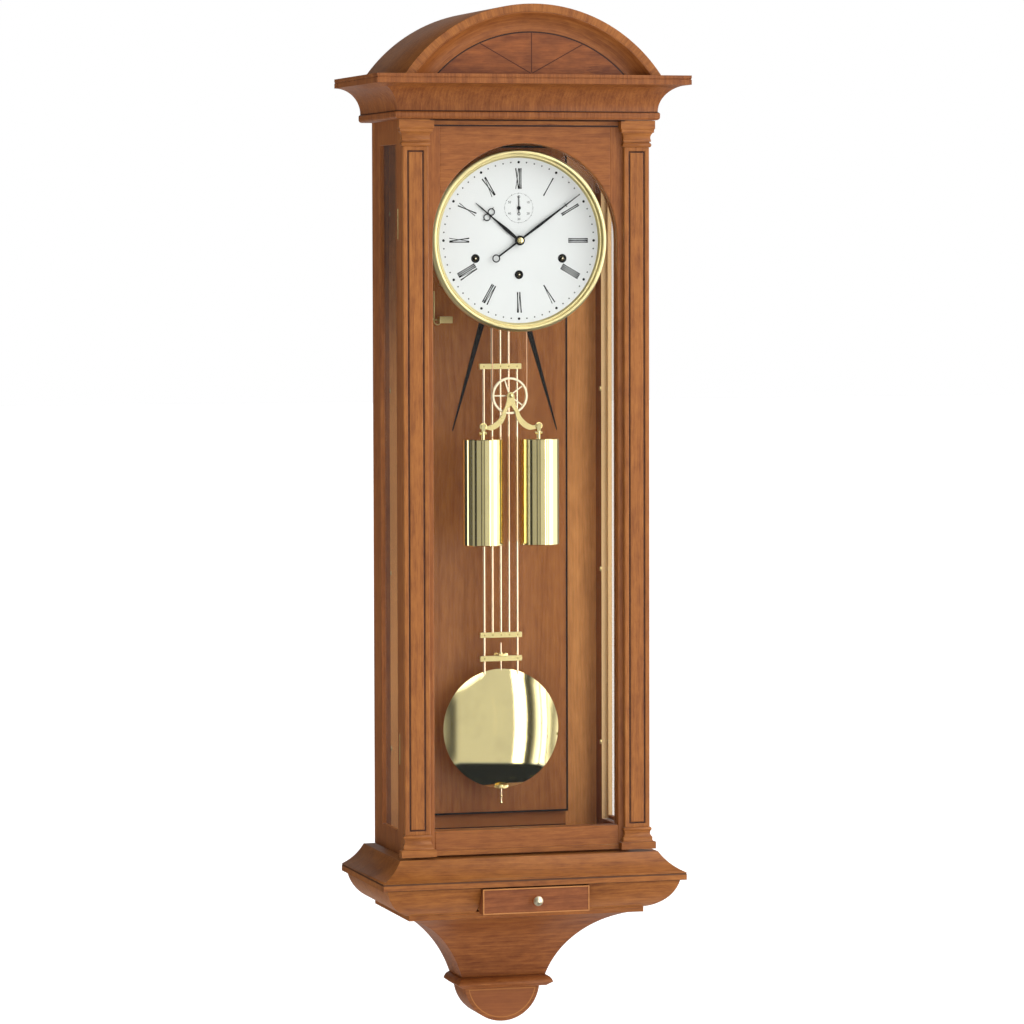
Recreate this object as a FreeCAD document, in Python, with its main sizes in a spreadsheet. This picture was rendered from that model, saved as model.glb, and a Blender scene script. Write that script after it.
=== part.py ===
import FreeCAD, Part
import math
import os
import Sketcher

# A wall regulator clock: a glazed case with an arched pediment above and a corbel below, a door that
# carries two pilasters, a drawer in the base, a gridiron pendulum, two weights that hang from one
# pulley, and a movement behind a round dial.
# Millimetres. The origin is the hanger hole, on the plane of the wall. +Z is up and -Y is the front.

Vector = FreeCAD.Vector
DOWN_Y = FreeCAD.Rotation(Vector(1, 0, 0), -90)
ALONG_X = FreeCAD.Rotation(Vector(0, 1, 0), 90)
UPRIGHT = FreeCAD.Rotation()

SIZES = {
    "case": {
        "case_half": 163.9, "case_drop": 1000.0, "side_thick": 14.0,
        "back_thick": 12.0, "board_thick": 12.0, "window_back": 42.0, "window_margin": 36.0,
        "window_foot": 32.0, "window_head": 32.0, "glass_lap": 5.0, "lip_thick": 6.0,
        "side_glass_thick": 3.0, "glass_play": 0.4, "clip_radius": 3.2, "clip_thick": 1.6,
        "clip_reach": 7.0, "panel_half": 104.0, "panel_thick": 8.0, "panel_foot": 39.8,
        "panel_head": 33.1, "string_wide": 2.6, "string_proud": 0.15, "cut_over": 1.0,
    },
    "cornice": {
        "cornice_drop": 16.9, "cornice_height": 58.6, "cornice_reach": 52.2, "front_extra": 19.3,
        "top_board_thick": 10.0, "top_board_lap": 12.0,
    },
    "pediment": {
        "hood_radius": 213.0, "hood_rise": 93.1, "hood_thick": 10.5, "hood_set": 7.5,
        "cove_wide": 25.5, "tympanum_set": 14.0, "tympanum_thick": 8.0,
        "ray_wide": 1.4, "ray_deep": 1.0, "ray_angle": 61.0,
    },
    "base": {
        "base_height": 83.5, "base_reach": 46.7, "base_wall": 11.0, "corbel_height": 97.7,
        "corbel_top_half": 162.5, "corbel_foot_half": 59.0, "corbel_over": 18.5,
        "corbel_foot_depth": 68.0, "neck_height": 14.3, "neck_half": 67.0, "neck_depth": 80.0,
        "neck_inset": 8.5, "drop_radius": 53.0, "drop_depth": 60.0, "drop_hidden": 4.5,
    },
    "drawer": {
        "drawer_half": 74.0, "drawer_rise": 10.8, "drawer_high": 34.5, "drawer_set": 2.0,
        "drawer_front_thick": 18.0, "drawer_deep": 150.0, "drawer_wall": 6.0, "drawer_play": 0.3,
        "runner_wide": 16.0, "runner_high": 2.0, "knob_radius": 6.25, "knob_length": 18.0,
        "knob_stem": 3.0,
    },
    "hanger": {
        "hanger_hole": 5.0, "hanger_plate_half": 26.0, "hanger_plate_high": 34.0,
        "hanger_plate_thick": 2.5, "hanger_pocket": 7.0, "hanger_pocket_radius": 12.0,
        "hanger_screw_x": 18.0, "screw_radius": 2.0, "screw_head": 3.6, "screw_length": 8.0,
    },
    "door": {
        "door_over": 6.7, "door_thick": 20.0, "door_gap": 0.3, "door_foot_gap": 3.5,
        "door_head_gap": 0.6, "stile_wide": 42.6, "crown_drop": 48.2, "haunch_set": 10.0,
        "sill_high": 32.3, "rebate_wide": 6.5, "rebate_lip": 10.0, "door_glass_thick": 4.0,
        "bevel_wide": 19.0, "bevel_deep": 1.8, "bead_thick": 4.0, "pilaster_wide": 35.1,
        "pilaster_proud": 7.0, "capital_high": 35.4, "capital_reach": 6.5, "plinth_high": 29.0,
        "fillet_high": 6.4, "fillet_proud": 2.0, "inlay_wide": 1.6, "inlay_deep": 1.2,
        "inlay_side": 6.5, "inlay_end": 5.5,
    },
    "hinge": {
        "hinge_high_drop": 155.0, "hinge_low_drop": 855.0, "knuckle_radius": 3.2,
        "knuckle_gap": 0.1, "knuckle_length": 20.0, "pin_radius": 1.5, "pin_play": 0.05,
        "leaf_thick": 1.4, "leaf_reach": 16.0, "pin_head": 2.4, "pin_head_high": 2.2,
        "catch_inset": 29.9, "catch_wide": 20.0, "catch_high": 9.0, "catch_deep": 11.0,
        "catch_plate_thick": 1.0, "catch_gap": 0.5,
    },
    "dial": {
        "dial_drop": 177.1, "dial_radius": 117.0, "dial_stand": 13.0, "dial_thick": 1.5,
        "bezel_radius": 122.3, "bezel_inner": 110.5, "bezel_deep": 10.0, "grommet_radius": 5.8,
        "grommet_hole": 3.6, "grommet_deep": 2.0, "seconds_rise": 43.5, "time_wind_drop": 45.7,
        "side_wind_x": 60.5, "side_wind_drop": 24.0, "dial_play": 0.1, "glass_clear": 12.5,
    },
    "hands": {
        "hour_reach": 78.0, "hour_angle": 309.7, "minute_reach": 103.0, "minute_angle": 53.7,
        "minute_tail": 40.5, "seconds_reach": 17.0, "seconds_tail": 7.6, "hand_thick": 0.8,
        "hour_stand": 2.0, "minute_stand": 4.4, "seconds_stand": 1.0, "hour_boss": 5.2,
        "minute_boss": 4.4, "seconds_boss": 2.2, "hour_ring": 3.6, "hour_ring_at": 54.0,
        "minute_ring": 4.8, "seconds_ring": 1.8, "ring_wire": 1.0,
    },
    "movement": {
        "plate_half": 92.0, "plate_high": 74.0, "plate_low": 84.0, "plate_shoulder": 60.0,
        "plate_foot_half": 45.0, "plate_thick": 2.5, "pendulum_clear": 24.5, "plate_gap": 57.0,
        "pillar_radius": 3.5, "pillar_x": 84.0, "pillar_rise": 52.0, "low_pillar_x": 40.0,
        "low_pillar_drop": 76.0, "dial_foot_radius": 2.5, "dial_foot_x": 78.0, "dial_foot_z": 38.0,
        "pivot_radius": 0.9, "pivot_play": 0.05, "arbor_radius": 1.6, "bracket_x": 50.0,
        "bracket_wide": 9.0, "bracket_drop": 30.0, "bracket_high": 14.0, "bracket_plate_thick": 3.0,
        "bracket_plate_half": 68.0, "bracket_plate_high": 46.0,
    },
    "train": {
        "centre_module": 0.58, "third_module": 0.55, "middle_module": 0.7, "great_module": 0.7,
        "motion_distance": 12.5, "wheel_thick": 2.0, "pinion_long": 5.0, "centre_wheel_set": 6.0,
        "third_wheel_set": 17.5, "escape_wheel_set": 9.5, "middle_wheel_set": 21.5,
        "great_wheel_set": 12.0, "motion_wheel_set": 6.0, "hour_wheel_set": 9.0,
        "escape_radius": 14.5, "escape_depth": 2.2, "backlash": 0.08, "pipe_radius": 2.1,
        "hour_pipe_radius": 3.2, "square_half": 1.7, "square_stand": 1.5, "barrel_radius": 18.0,
        "barrel_wheel_radius": 25.0, "barrel_set": 7.5, "barrel_back_set": 11.5,
        "barrel_wheel_set": 4.0,
    },
    "pendulum": {
        "pendulum_y": 57.0, "pivot_drop": 113.2, "rod_radius": 1.9, "rod_pitch": 11.7,
        "bar_half": 29.5, "bar_high": 7.2, "bar_deep": 5.6, "bar_top_drop": 347.5,
        "bar_low_drop": 713.7, "bar_foot_drop": 745.9, "hook_bar_drop": 153.2, "bob_drop": 841.7,
        "bob_radius": 81.5, "bob_half_thick": 10.0, "bob_rim": 1.6, "nut_notch": 4.0,
        "rating_rod_radius": 1.3, "rating_rod_drop": 942.0, "nut_radius": 9.0, "nut_high": 3.6,
        "spring_wide": 6.0, "spring_thick": 0.4, "head_pin_radius": 3.0, "cock_half": 8.0,
        "cock_set": 7.5, "cock_high": 18.0, "chop_half": 5.0, "chop_high": 7.0,
        "chop_deep": 5.0, "hook_drop": 28.0,
    },
    "anchor": {
        "crutch_set": 2.9, "crutch_long": 95.0, "crutch_radius": 1.1, "fork_half": 3.4,
        "fork_thick": 1.4, "pallet_gap": 1.3, "pallet_span": 52.0, "pallet_wide": 2.4,
        "pallet_thick": 3.0, "back_cock_set": 6.5, "back_cock_thick": 2.0,
        "back_cock_half": 14.0, "back_cock_high": 10.0, "crutch_clear": 4.5,
    },
    "weights": {
        "weight_set": 34.0, "pulley_drop": 386.2, "pulley_radius": 24.75, "cable_radius": 0.7,
        "cable_pitch_radius": 24.0, "pulley_thick": 5.5, "pulley_rim": 2.6, "pulley_hub": 4.0,
        "spoke_wide": 1.6, "axle_radius": 1.6, "yoke_thick": 3.0, "yoke_gap": 0.5,
        "yoke_boss": 5.0, "eye_x": 39.0, "yoke_high": 41.0, "eye_radius": 4.3,
        "eye_hole": 1.5, "toggle_radius": 2.4, "toggle_half": 5.0, "weight_radius": 28.0,
        "neck_long": 17.0, "weight_high": 143.5, "weight_bevel": 0.8, "neck_radius": 2.6,
        "drum_radius": 23.3, "drum_flange": 26.0, "drum_half_long": 9.0,
        "drum_flange_thick": 1.4, "cable_post_radius": 2.0, "cable_post_drop": 79.0,
    },
    "gong": {
        "gong_x": 75.0, "gong_y": 48.0, "gong_drop": 284.0, "gong_wide": 18.0, "gong_high": 9.0,
        "gong_deep": 14.0, "gong_rod_radius": 1.1, "gong_rod_rise": 150.0, "gong_bend": 8.0,
        "gong_rod_pitch": 4.2, "gong_post_radius": 4.0,
    },
    "pointers": {
        "pointer_wide": 9.5, "pointer_tip": 1.0, "pointer_thick": 3.0, "pointer_start": 72.0,
        "pointer_end": 267.0, "pointer_angle": 16.0,
    },
}

TEETH = {
    "centre_wheel_teeth": 80, "third_pinion_teeth": 10, "third_wheel_teeth": 75, "escape_pinion_teeth": 10,
    "escape_wheel_teeth": 35, "centre_pinion_teeth": 14, "middle_wheel_teeth": 60, "middle_pinion_teeth": 12,
    "great_wheel_teeth": 96, "cannon_pinion_teeth": 12, "minute_wheel_teeth": 36, "minute_pinion_teeth": 10,
    "hour_wheel_teeth": 40, "barrel_wheel_teeth": 84,
}
PRESSURE_ANGLE = math.radians(20)
SPOKES = 5
CORBEL_SIDE_SHARE = 1.05
CORBEL_FORE_SHARE = 0.81

doc = FreeCAD.newDocument("RegulatorClock")
sheet = doc.addObject("Spreadsheet::Sheet", "Sizes")


class Size:
    """A length that carries its value and its formula, so that an object follows the sheet."""

    def __init__(self, value, formula):
        self.value = value
        self.formula = formula

    def __add__(self, other):
        return Size(self.value + number(other), "(%s + %s)" % (self.formula, words(other)))

    def __sub__(self, other):
        return Size(self.value - number(other), "(%s - %s)" % (self.formula, words(other)))

    def __mul__(self, other):
        return Size(self.value * number(other), "(%s * %s)" % (self.formula, words(other)))

    def __truediv__(self, other):
        return Size(self.value / number(other), "(%s / %s)" % (self.formula, words(other)))

    def __neg__(self):
        return Size(-self.value, "(-1 * %s)" % self.formula)

    __radd__ = __add__
    __rmul__ = __mul__


def number(size):
    return size.value if isinstance(size, Size) else float(size)


def words(size):
    return size.formula if isinstance(size, Size) else repr(float(size))


def root(size):
    return Size(math.sqrt(size.value), "sqrt(%s)" % size.formula)


class Named:
    """The named sizes, each read as an attribute."""


def fill_sheet():
    named = Named()
    row = 1
    for group, values in SIZES.items():
        sheet.set("A%d" % row, group)
        row += 1
        for name, value in values.items():
            sheet.set("A%d" % row, name.replace("_", " "))
            sheet.set("B%d" % row, str(value))
            sheet.setAlias("B%d" % row, name)
            setattr(named, name, Size(value, "Sizes." + name))
            row += 1
    doc.recompute()
    return named


s = fill_sheet()

# Depths in front of the wall, from the pendulum forward through the movement and the dial to the door,
# so that the case is as deep as what it holds
s.back_plate_y = s.pendulum_y + s.pendulum_clear
s.front_plate_y = s.back_plate_y + s.plate_gap
s.dial_front = s.front_plate_y + s.dial_stand
s.case_depth = s.dial_front + s.glass_clear
s.window_front = s.case_depth - s.window_margin
s.cock_front = s.pendulum_y - s.cock_set
s.back_cock_y = s.back_plate_y - s.back_cock_set
s.crutch_y = s.back_plate_y - s.crutch_set
s.escape_wheel_y = s.back_plate_y + s.escape_wheel_set
s.barrel_back = s.back_plate_y + s.barrel_back_set
s.weight_y = s.front_plate_y - s.weight_set
s.middle_wheel_y = s.front_plate_y - s.middle_wheel_set
s.third_wheel_y = s.front_plate_y - s.third_wheel_set
s.great_wheel_y = s.front_plate_y - s.great_wheel_set
s.barrel_front = s.front_plate_y - s.barrel_set
s.centre_wheel_y = s.front_plate_y - s.centre_wheel_set
s.barrel_wheel_y = s.front_plate_y - s.barrel_wheel_set
s.motion_wheel_y = s.front_plate_y + s.motion_wheel_set
s.hour_wheel_y = s.front_plate_y + s.hour_wheel_set
s.cornice_front = s.case_depth + s.front_extra + s.cornice_reach
s.hood_front = s.cornice_front - s.hood_set
s.tympanum_front = s.hood_front - s.tympanum_set
s.drawer_front_y = s.case_depth + s.front_extra + s.base_reach - s.drawer_set
s.corbel_top_depth = s.case_depth + s.corbel_over

# Radii, widths and heights that follow from others
s.hood_drop = s.hood_radius - s.hood_rise - s.cornice_height + s.cornice_drop
s.door_half = s.case_half + s.door_over
s.arch_half = s.door_half - s.stile_wide
s.haunch_half = s.arch_half - s.haunch_set
s.arch_drop = s.crown_drop + s.arch_half
s.pilaster_inner = s.door_half - s.pilaster_wide
s.tympanum_radius = s.hood_radius - s.hood_thick - s.cove_wide
s.catch_x = s.case_half - s.side_thick - s.catch_inset
s.eye_drop = s.pulley_drop + s.yoke_high
s.weight_top_drop = s.eye_drop + s.neck_long
ZERO = Size(0.0, "0")
finished = []


# Helpers that make bound objects

def add(kind, label):
    item = doc.addObject(kind, label)
    item.Label = label
    return item


def bind(item, **sizes):
    for name, size in sizes.items():
        item.setExpression(name, words(size))
    return item


def place(item, x=ZERO, y=ZERO, z=ZERO, turn=UPRIGHT):
    item.Placement = FreeCAD.Placement(Vector(), turn)
    for axis, size in (("x", x), ("y", y), ("z", z)):
        item.setExpression("Placement.Base." + axis, words(size))
    return item


def box(label, x, y, z):
    item = add("Part::Box", label)
    bind(item, Length=x[1] - x[0], Width=y[1] - y[0], Height=z[1] - z[0])
    return place(item, x[0], y[0], z[0])


def rod_y(label, x, z, radius, front, back):
    """A round bar along Y, from the front y to the back y."""
    item = bind(add("Part::Cylinder", label), Radius=radius, Height=back - front)
    return place(item, x, front, z, DOWN_Y)


def rod_z(label, x, y, radius, low, high):
    item = bind(add("Part::Cylinder", label), Radius=radius, Height=high - low)
    return place(item, x, y, low)


def rod_x(label, y, z, radius, low, high):
    item = bind(add("Part::Cylinder", label), Radius=radius, Height=high - low)
    return place(item, low, y, z, ALONG_X)


def fuse(label, *items):
    item = add("Part::MultiFuse", label)
    item.Shapes = list(items)
    return item


def cut(label, base, *tools):
    item = add("Part::Cut", label)
    item.Base = base
    item.Tool = tools[0] if len(tools) == 1 else fuse(label + "_tools", *tools)
    return item


def common(label, first, second):
    item = add("Part::Common", label)
    item.Base = first
    item.Tool = second
    return item


def group(label, *items):
    """Separate solids that share one node."""
    item = add("Part::Compound", label)
    item.Links = list(items)
    return item


def mirrored(label, source):
    item = add("Part::Mirroring", label)
    item.Source = source
    item.Normal = Vector(1, 0, 0)
    return item


def pair(label, right):
    """The right-hand piece and its mirror image, as two solids of one node."""
    return group(label, right, mirrored(label + "_left", right))


def solid(label, shape):
    """A piece whose form is worked out here from the sheet's values."""
    item = add("Part::Feature", label)
    item.Shape = shape
    return item


def keep(item):
    finished.append(item)
    return item


def ends_near(sketch, index, point):
    first = sketch.getPoint(index, 1)
    second = sketch.getPoint(index, 2)
    return 1 if (first - point).Length < (second - point).Length else 2


def draw(sketch, outline):
    """Draws a closed outline of (across, up) or (across, up, bend) points, each bound to its sizes.

    A bend is the radius of the edge to the next point as a share of that edge's chord, or a pair of
    a radius and a turn. It is positive where the centre lies to the left of the way round.
    """
    corners = [Vector(number(p[0]), number(p[1]), 0) for p in outline]
    count = len(outline)
    radii = {}
    for index, point in enumerate(outline):
        start = corners[index]
        end = corners[(index + 1) % count]
        if len(point) < 3 or point[2] is None:
            sketch.addGeometry(Part.LineSegment(start, end), False)
            continue
        following = outline[(index + 1) % count]
        if isinstance(point[2], tuple):
            radius, turn = point[2]
        else:
            across = following[0] - point[0]
            up = following[1] - point[1]
            radius = root(across * across + up * up) * abs(point[2])
            turn = 1 if point[2] > 0 else -1
        chord = end - start
        left = Vector(-chord.y, chord.x, 0).normalize() * turn
        height = math.sqrt(max(radius.value ** 2 - (chord.Length / 2) ** 2, 0))
        middle = (start + end) * 0.5 + left * (height - radius.value)
        sketch.addGeometry(Part.Arc(start, middle, end), False)
        radii[index] = radius
    rules = []
    bound = []
    for index, point in enumerate(outline):
        end = ends_near(sketch, index, corners[index])
        before = (index - 1) % count
        far = 3 - ends_near(sketch, before, corners[before])
        rules.append(Sketcher.Constraint("Coincident", before, far, index, end))
        bound.append(None)
        rules.append(Sketcher.Constraint("DistanceX", -1, 1, index, end, corners[index].x))
        bound.append(words(point[0]))
        rules.append(Sketcher.Constraint("DistanceY", -1, 1, index, end, corners[index].y))
        bound.append(words(point[1]))
    for index, radius in radii.items():
        rules.append(Sketcher.Constraint("Radius", index, radius.value))
        bound.append(words(radius))
    numbers = sketch.addConstraint(rules)
    for index, formula in zip(numbers, bound):
        if formula is not None:
            sketch.setExpression("Constraints[%d]" % index, formula)


def body_with(label, plane, outline):
    body = add("PartDesign::Body", label)
    sketch = body.newObject("Sketcher::SketchObject", label + "_outline")
    face = [item for item in body.Origin.OriginFeatures if item.Role == plane][0]
    sketch.AttachmentSupport = (face, [""])
    sketch.MapMode = "FlatFace"
    draw(sketch, outline)
    return body, sketch


def slab(label, facing, outline, low, high):
    """An outline padded from low to high: "front" is drawn in X and Z, "side" in Y and Z, "plan" in
    X and Y."""
    plane = {"front": "XZ_Plane", "side": "YZ_Plane", "plan": "XY_Plane"}[facing]
    body, sketch = body_with(label, plane, outline)
    pad = body.newObject("PartDesign::Pad", label + "_pad")
    pad.Profile = sketch
    bind(pad, Length=high - low)
    if facing == "front":
        return place(body, y=high)
    if facing == "side":
        return place(body, x=low)
    return place(body, z=low)


def turned(label, axis, outline, x=ZERO, y=ZERO, z=ZERO):
    """An outline spun round Y or Z. For Y its points are (along, radius), for Z (radius, along)."""
    body, sketch = body_with(label, "YZ_Plane" if axis == "Y" else "XZ_Plane", outline)
    spin = body.newObject("PartDesign::Revolution", label + "_spin")
    spin.Profile = sketch
    spin.ReferenceAxis = (sketch, ["H_Axis" if axis == "Y" else "V_Axis"])
    spin.Angle = 360
    return place(body, x, y, z)


def both_sides(points):
    """A right-hand edge, listed upwards, closed by its mirror image on the left."""
    left = []
    for index in range(len(points) - 1, -1, -1):
        bend = points[index - 1][2] if index > 0 else None
        left.append((-points[index][0], points[index][1], bend))
    last = points[-1]
    return list(points[:-1]) + [(last[0], last[1], None)] + left


def moulding(label, shares, half, front, back, low, height, reach):
    """A moulding mitred round three sides: two prisms of one profile, and what they share.

    Each row of shares is (projection, height, bend).
    """
    edge = [(half + reach * p, low + height * h, bend) for p, h, bend in shares]
    outer = slab(label + "_across", "front", both_sides(edge), -(front + reach * 2), -back)
    fore = []
    for index in range(len(shares) - 1, -1, -1):
        p, h, _ = shares[index]
        bend = shares[index - 1][2] if index > 0 else None
        fore.append((-(front + reach * p), low + height * h, bend))
    fore.append((-back, low + height * shares[0][1]))
    fore.append((-back, low + height * shares[-1][1]))
    through = slab(label + "_through", "side", fore, -(half + reach * 2), half + reach * 2)
    return common(label, outer, through)


def arched(half, foot, spring):
    """The outline of an arched opening or pane, listed from its right foot."""
    return [(half, foot), (half, spring, (half, 1)), (ZERO, spring + half, (half, 1)),
            (-half, spring), (-half, foot)]


# Levels and planes that several pieces share

case_foot = -s.case_drop
case_inner = s.case_half - s.side_thick
cornice_low = -s.cornice_drop
cornice_high = cornice_low + s.cornice_height
sides_top = cornice_high - s.top_board_thick
roof_low = cornice_low - s.board_thick
window_low = case_foot + s.window_foot
window_high = cornice_low - s.window_head
back_front = -s.back_thick
dial_z = -s.dial_drop
pivot_z = -s.pivot_drop


# Case

def make_back_board():
    board = box("back_blank", (-case_inner, case_inner), (back_front, ZERO), (case_foot, sides_top))
    seat = box("hanger_seat", (-s.hanger_plate_half, s.hanger_plate_half),
               (-s.hanger_plate_thick, s.cut_over),
               (-s.hanger_plate_high / 2, s.hanger_plate_high / 2))
    pocket = rod_y("hanger_pocket", ZERO, ZERO, s.hanger_pocket_radius,
                   -(s.hanger_plate_thick + s.hanger_pocket), s.cut_over)
    holes = [rod_y("hanger_screw_hole", x, ZERO, s.screw_radius,
                   -(s.hanger_plate_thick + s.screw_length), s.cut_over)
             for x in (-s.hanger_screw_x, s.hanger_screw_x)]
    keep(cut("back_board", board, seat, pocket, *holes))


def make_hanger():
    """A let-in steel plate with the hole that the wall screw or hook enters, and its two screws."""
    half = s.hanger_plate_half
    plate = box("hanger_blank", (-half, half), (-s.hanger_plate_thick, ZERO),
                (-s.hanger_plate_high / 2, s.hanger_plate_high / 2))
    hole = rod_y("hanger_hole_cut", ZERO, ZERO, s.hanger_hole,
                 -(s.hanger_plate_thick + s.cut_over), s.cut_over)
    screws = []
    seats = []
    for x in (-s.hanger_screw_x, s.hanger_screw_x):
        outline = [(-(s.hanger_plate_thick + s.screw_length), ZERO),
                   (-(s.hanger_plate_thick + s.screw_length), s.screw_radius),
                   (-s.hanger_plate_thick, s.screw_radius), (ZERO, s.screw_head), (ZERO, ZERO)]
        screws.append(turned("hanger_screw", "Y", outline, x=x))
        seats.append(turned("hanger_screw_seat", "Y", outline, x=x))
    keep(group("hanger_plate", cut("hanger_leaf", plate, hole, *seats), *screws))


def make_panel():
    """The veneered back panel and the black stringing round it and on the tympanum."""
    front = back_front - s.panel_thick
    low = case_foot + s.panel_foot
    high = cornice_low - s.panel_head
    keep(box("veneer_panel", (-s.panel_half, s.panel_half), (front, back_front), (low, high)))
    outer = s.panel_half + s.string_wide
    blank = box("panel_string_blank", (-outer, outer), (front - s.string_proud, back_front),
                (low - s.string_wide, high + s.string_wide))
    inner = box("panel_string_inner", (-s.panel_half, s.panel_half),
                (front - s.cut_over, back_front + s.cut_over), (low, high))
    return cut("panel_string", blank, inner)


def side_window(label, lap, x_low, x_high):
    return box(label, (x_low, x_high), (-(s.window_front + lap), -(s.window_back - lap)),
               (window_low - lap, window_high + lap))


def make_sides():
    blank = box("side_blank", (case_inner, s.case_half), (-s.case_depth, ZERO),
                (case_foot, sides_top))
    window = side_window("side_window", ZERO, case_inner - s.cut_over, s.case_half + s.cut_over)
    rebate = side_window("side_rebate", s.glass_lap, case_inner - s.cut_over,
                         s.case_half - s.lip_thick)
    keep(pair("side_frames", cut("side_frame_right", blank, window, rebate)))
    outer = s.case_half - s.lip_thick
    pane = side_window("side_pane_right", s.glass_lap - s.glass_play,
                       outer - s.side_glass_thick, outer)
    keep(pair("side_glasses", pane))
    make_glass_clips()


def make_glass_clips():
    """Small brass turn-buttons on the inner faces that hold the side glasses in their rebates."""
    levels = [window_low + (window_high - window_low) * share for share in (0.11, 0.37, 0.64, 0.9)]
    clips = []
    for side in (-1, 1):
        low, high = sorted((case_inner * side, (case_inner - s.clip_thick) * side), key=number)
        for edge in (-(s.window_back - s.clip_reach), -(s.window_front + s.clip_reach)):
            for level in levels:
                clips.append(rod_x("glass_clip", edge, level, s.clip_radius, low, high))
    keep(group("glass_clips", *clips))


def make_boards():
    """The floor and roof of the case, the top board on the cornice and the drawer's two runners."""
    inside = (-case_inner, case_inner)
    deep = (-s.case_depth, back_front)
    floor = box("floor_board", inside, deep, (case_foot, case_foot + s.board_thick))
    roof = box("roof_board", inside, deep, (roof_low, cornice_low))
    half = s.case_half + s.cornice_reach - s.top_board_lap
    top = box("top_board", (-half, half),
              (-(s.cornice_front - s.top_board_lap), ZERO),
              (sides_top, cornice_high))
    keep(group("case_boards", floor, roof, top, *make_runners()))


def make_runners():
    top = base_low + s.base_wall + s.runner_high
    runners = []
    for side in (-1, 1):
        inner = s.drawer_half - s.runner_wide - s.drawer_wall
        low, high = sorted((inner * side, (inner + s.runner_wide) * side), key=number)
        runners.append(box("drawer_runner", (low, high), (-s.case_depth, back_front),
                           (base_low + s.base_wall, top)))
    return runners


def make_cornice():
    shares = (
        (0.275, 0.0, 0.7071), (0.356, 0.07, None), (0.356, 0.125, 0.7071), (0.31, 0.181, -0.7071),
        (0.966, 0.79, None), (1.0, 0.79, None), (1.0, 0.9, None), (0.985, 0.908, None),
        (0.985, 0.925, None), (1.0, 0.933, None), (1.0, 1.0, None),
    )
    ring = moulding("cornice_ring", shares, s.case_half, s.case_depth + s.front_extra, ZERO,
                    cornice_low, s.cornice_height, s.cornice_reach)
    inside = box("cornice_inside", (-s.case_half, s.case_half), (-s.case_depth, s.cut_over),
                 (cornice_low - s.cut_over, sides_top))
    half = s.case_half + s.cornice_reach - s.top_board_lap
    lid = box("cornice_lid", (-half, half),
              (-(s.cornice_front - s.top_board_lap), s.cut_over),
              (sides_top, cornice_high + s.cut_over))
    keep(cut("cornice", ring, inside, lid))


# Pediment: a barrel hood, a cove behind its front edge and a flat tympanum with inlaid rays

def above_cornice(label, item):
    reach = s.hood_radius + s.cut_over
    slice_box = box(label + "_slice", (-reach, reach), (-s.hood_front - s.cut_over, s.cut_over),
                    (cornice_high, cornice_high + reach))
    return common(label, item, slice_box)


def make_pediment():
    centre = -s.hood_drop
    inner = s.hood_radius - s.hood_thick
    hood = [(-s.hood_front, inner), (ZERO, inner), (ZERO, s.hood_radius),
            (-s.hood_front, s.hood_radius)]
    keep(above_cornice("pediment_hood", turned("hood_ring", "Y", hood, z=centre)))
    back = -(s.tympanum_front - s.tympanum_thick)
    cove = [(-s.hood_front, inner), (-s.hood_front, inner - s.hood_thick * 0.12, -0.8),
            (-s.tympanum_front, s.tympanum_radius), (back, s.tympanum_radius), (back, inner)]
    keep(above_cornice("pediment_moulding", turned("cove_ring", "Y", cove, z=centre)))
    disc = rod_y("tympanum_disc", ZERO, centre, s.tympanum_radius, -s.tympanum_front, back)
    board = above_cornice("tympanum_board", disc)
    keep(cut("tympanum", board, *[make_ray("ray_seat", turn) for turn in (-1, 0, 1)]))
    rays = [make_ray("tympanum_ray", turn) for turn in (-1, 0, 1)]
    keep(group("case_stringing", make_panel(), *rays))


def make_ray(label, turn):
    """One inlaid line from the foot of the tympanum, upright or leaning to a side."""
    angle = math.radians(s.ray_angle.value) * turn
    rise = cornice_high.value + s.ray_wide.value
    centre = -s.hood_drop.value
    edge = s.tympanum_radius.value - s.ray_wide.value
    foot = rise - centre
    # length along the line until it meets the moulding's edge
    along = -foot * math.cos(angle) + math.sqrt(edge ** 2 - (foot * math.sin(angle)) ** 2)
    bar = Part.makeBox(s.ray_wide.value, s.ray_deep.value, along - s.ray_wide.value,
                       Vector(-s.ray_wide.value / 2, -s.tympanum_front.value, s.ray_wide.value))
    bar.rotate(Vector(), Vector(0, 1, 0), math.degrees(angle))
    bar.translate(Vector(0, 0, rise))
    return solid(label, bar)


# Base, drawer and corbel

base_low = case_foot - s.base_height


def make_base():
    shares = (
        (0.0, 0.0, None), (0.0, 0.09, None), (0.045, 0.092, 0.95), (0.85, 0.566, None),
        (1.0, 0.566, None), (1.0, 0.66, None), (0.985, 0.672, None), (1.0, 0.685, -1.6),
        (0.34, 1.0, None),
    )
    outer = moulding("base_block", shares, s.case_half, s.case_depth + s.front_extra, ZERO,
                     base_low, s.base_height, s.base_reach)
    hollow = box("base_hollow", (-case_inner, case_inner), (-s.case_depth, back_front),
                 (base_low + s.base_wall, case_foot - s.board_thick))
    mouth_half = s.drawer_half + s.drawer_play
    low = base_low + s.drawer_rise - s.drawer_play
    mouth = box("drawer_mouth", (-mouth_half, mouth_half),
                (-(s.drawer_front_y + s.front_extra), -(s.case_depth - s.cut_over)),
                (low, low + s.drawer_high + s.drawer_play * 2))
    keep(cut("base_moulding", outer, hollow, mouth))


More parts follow.
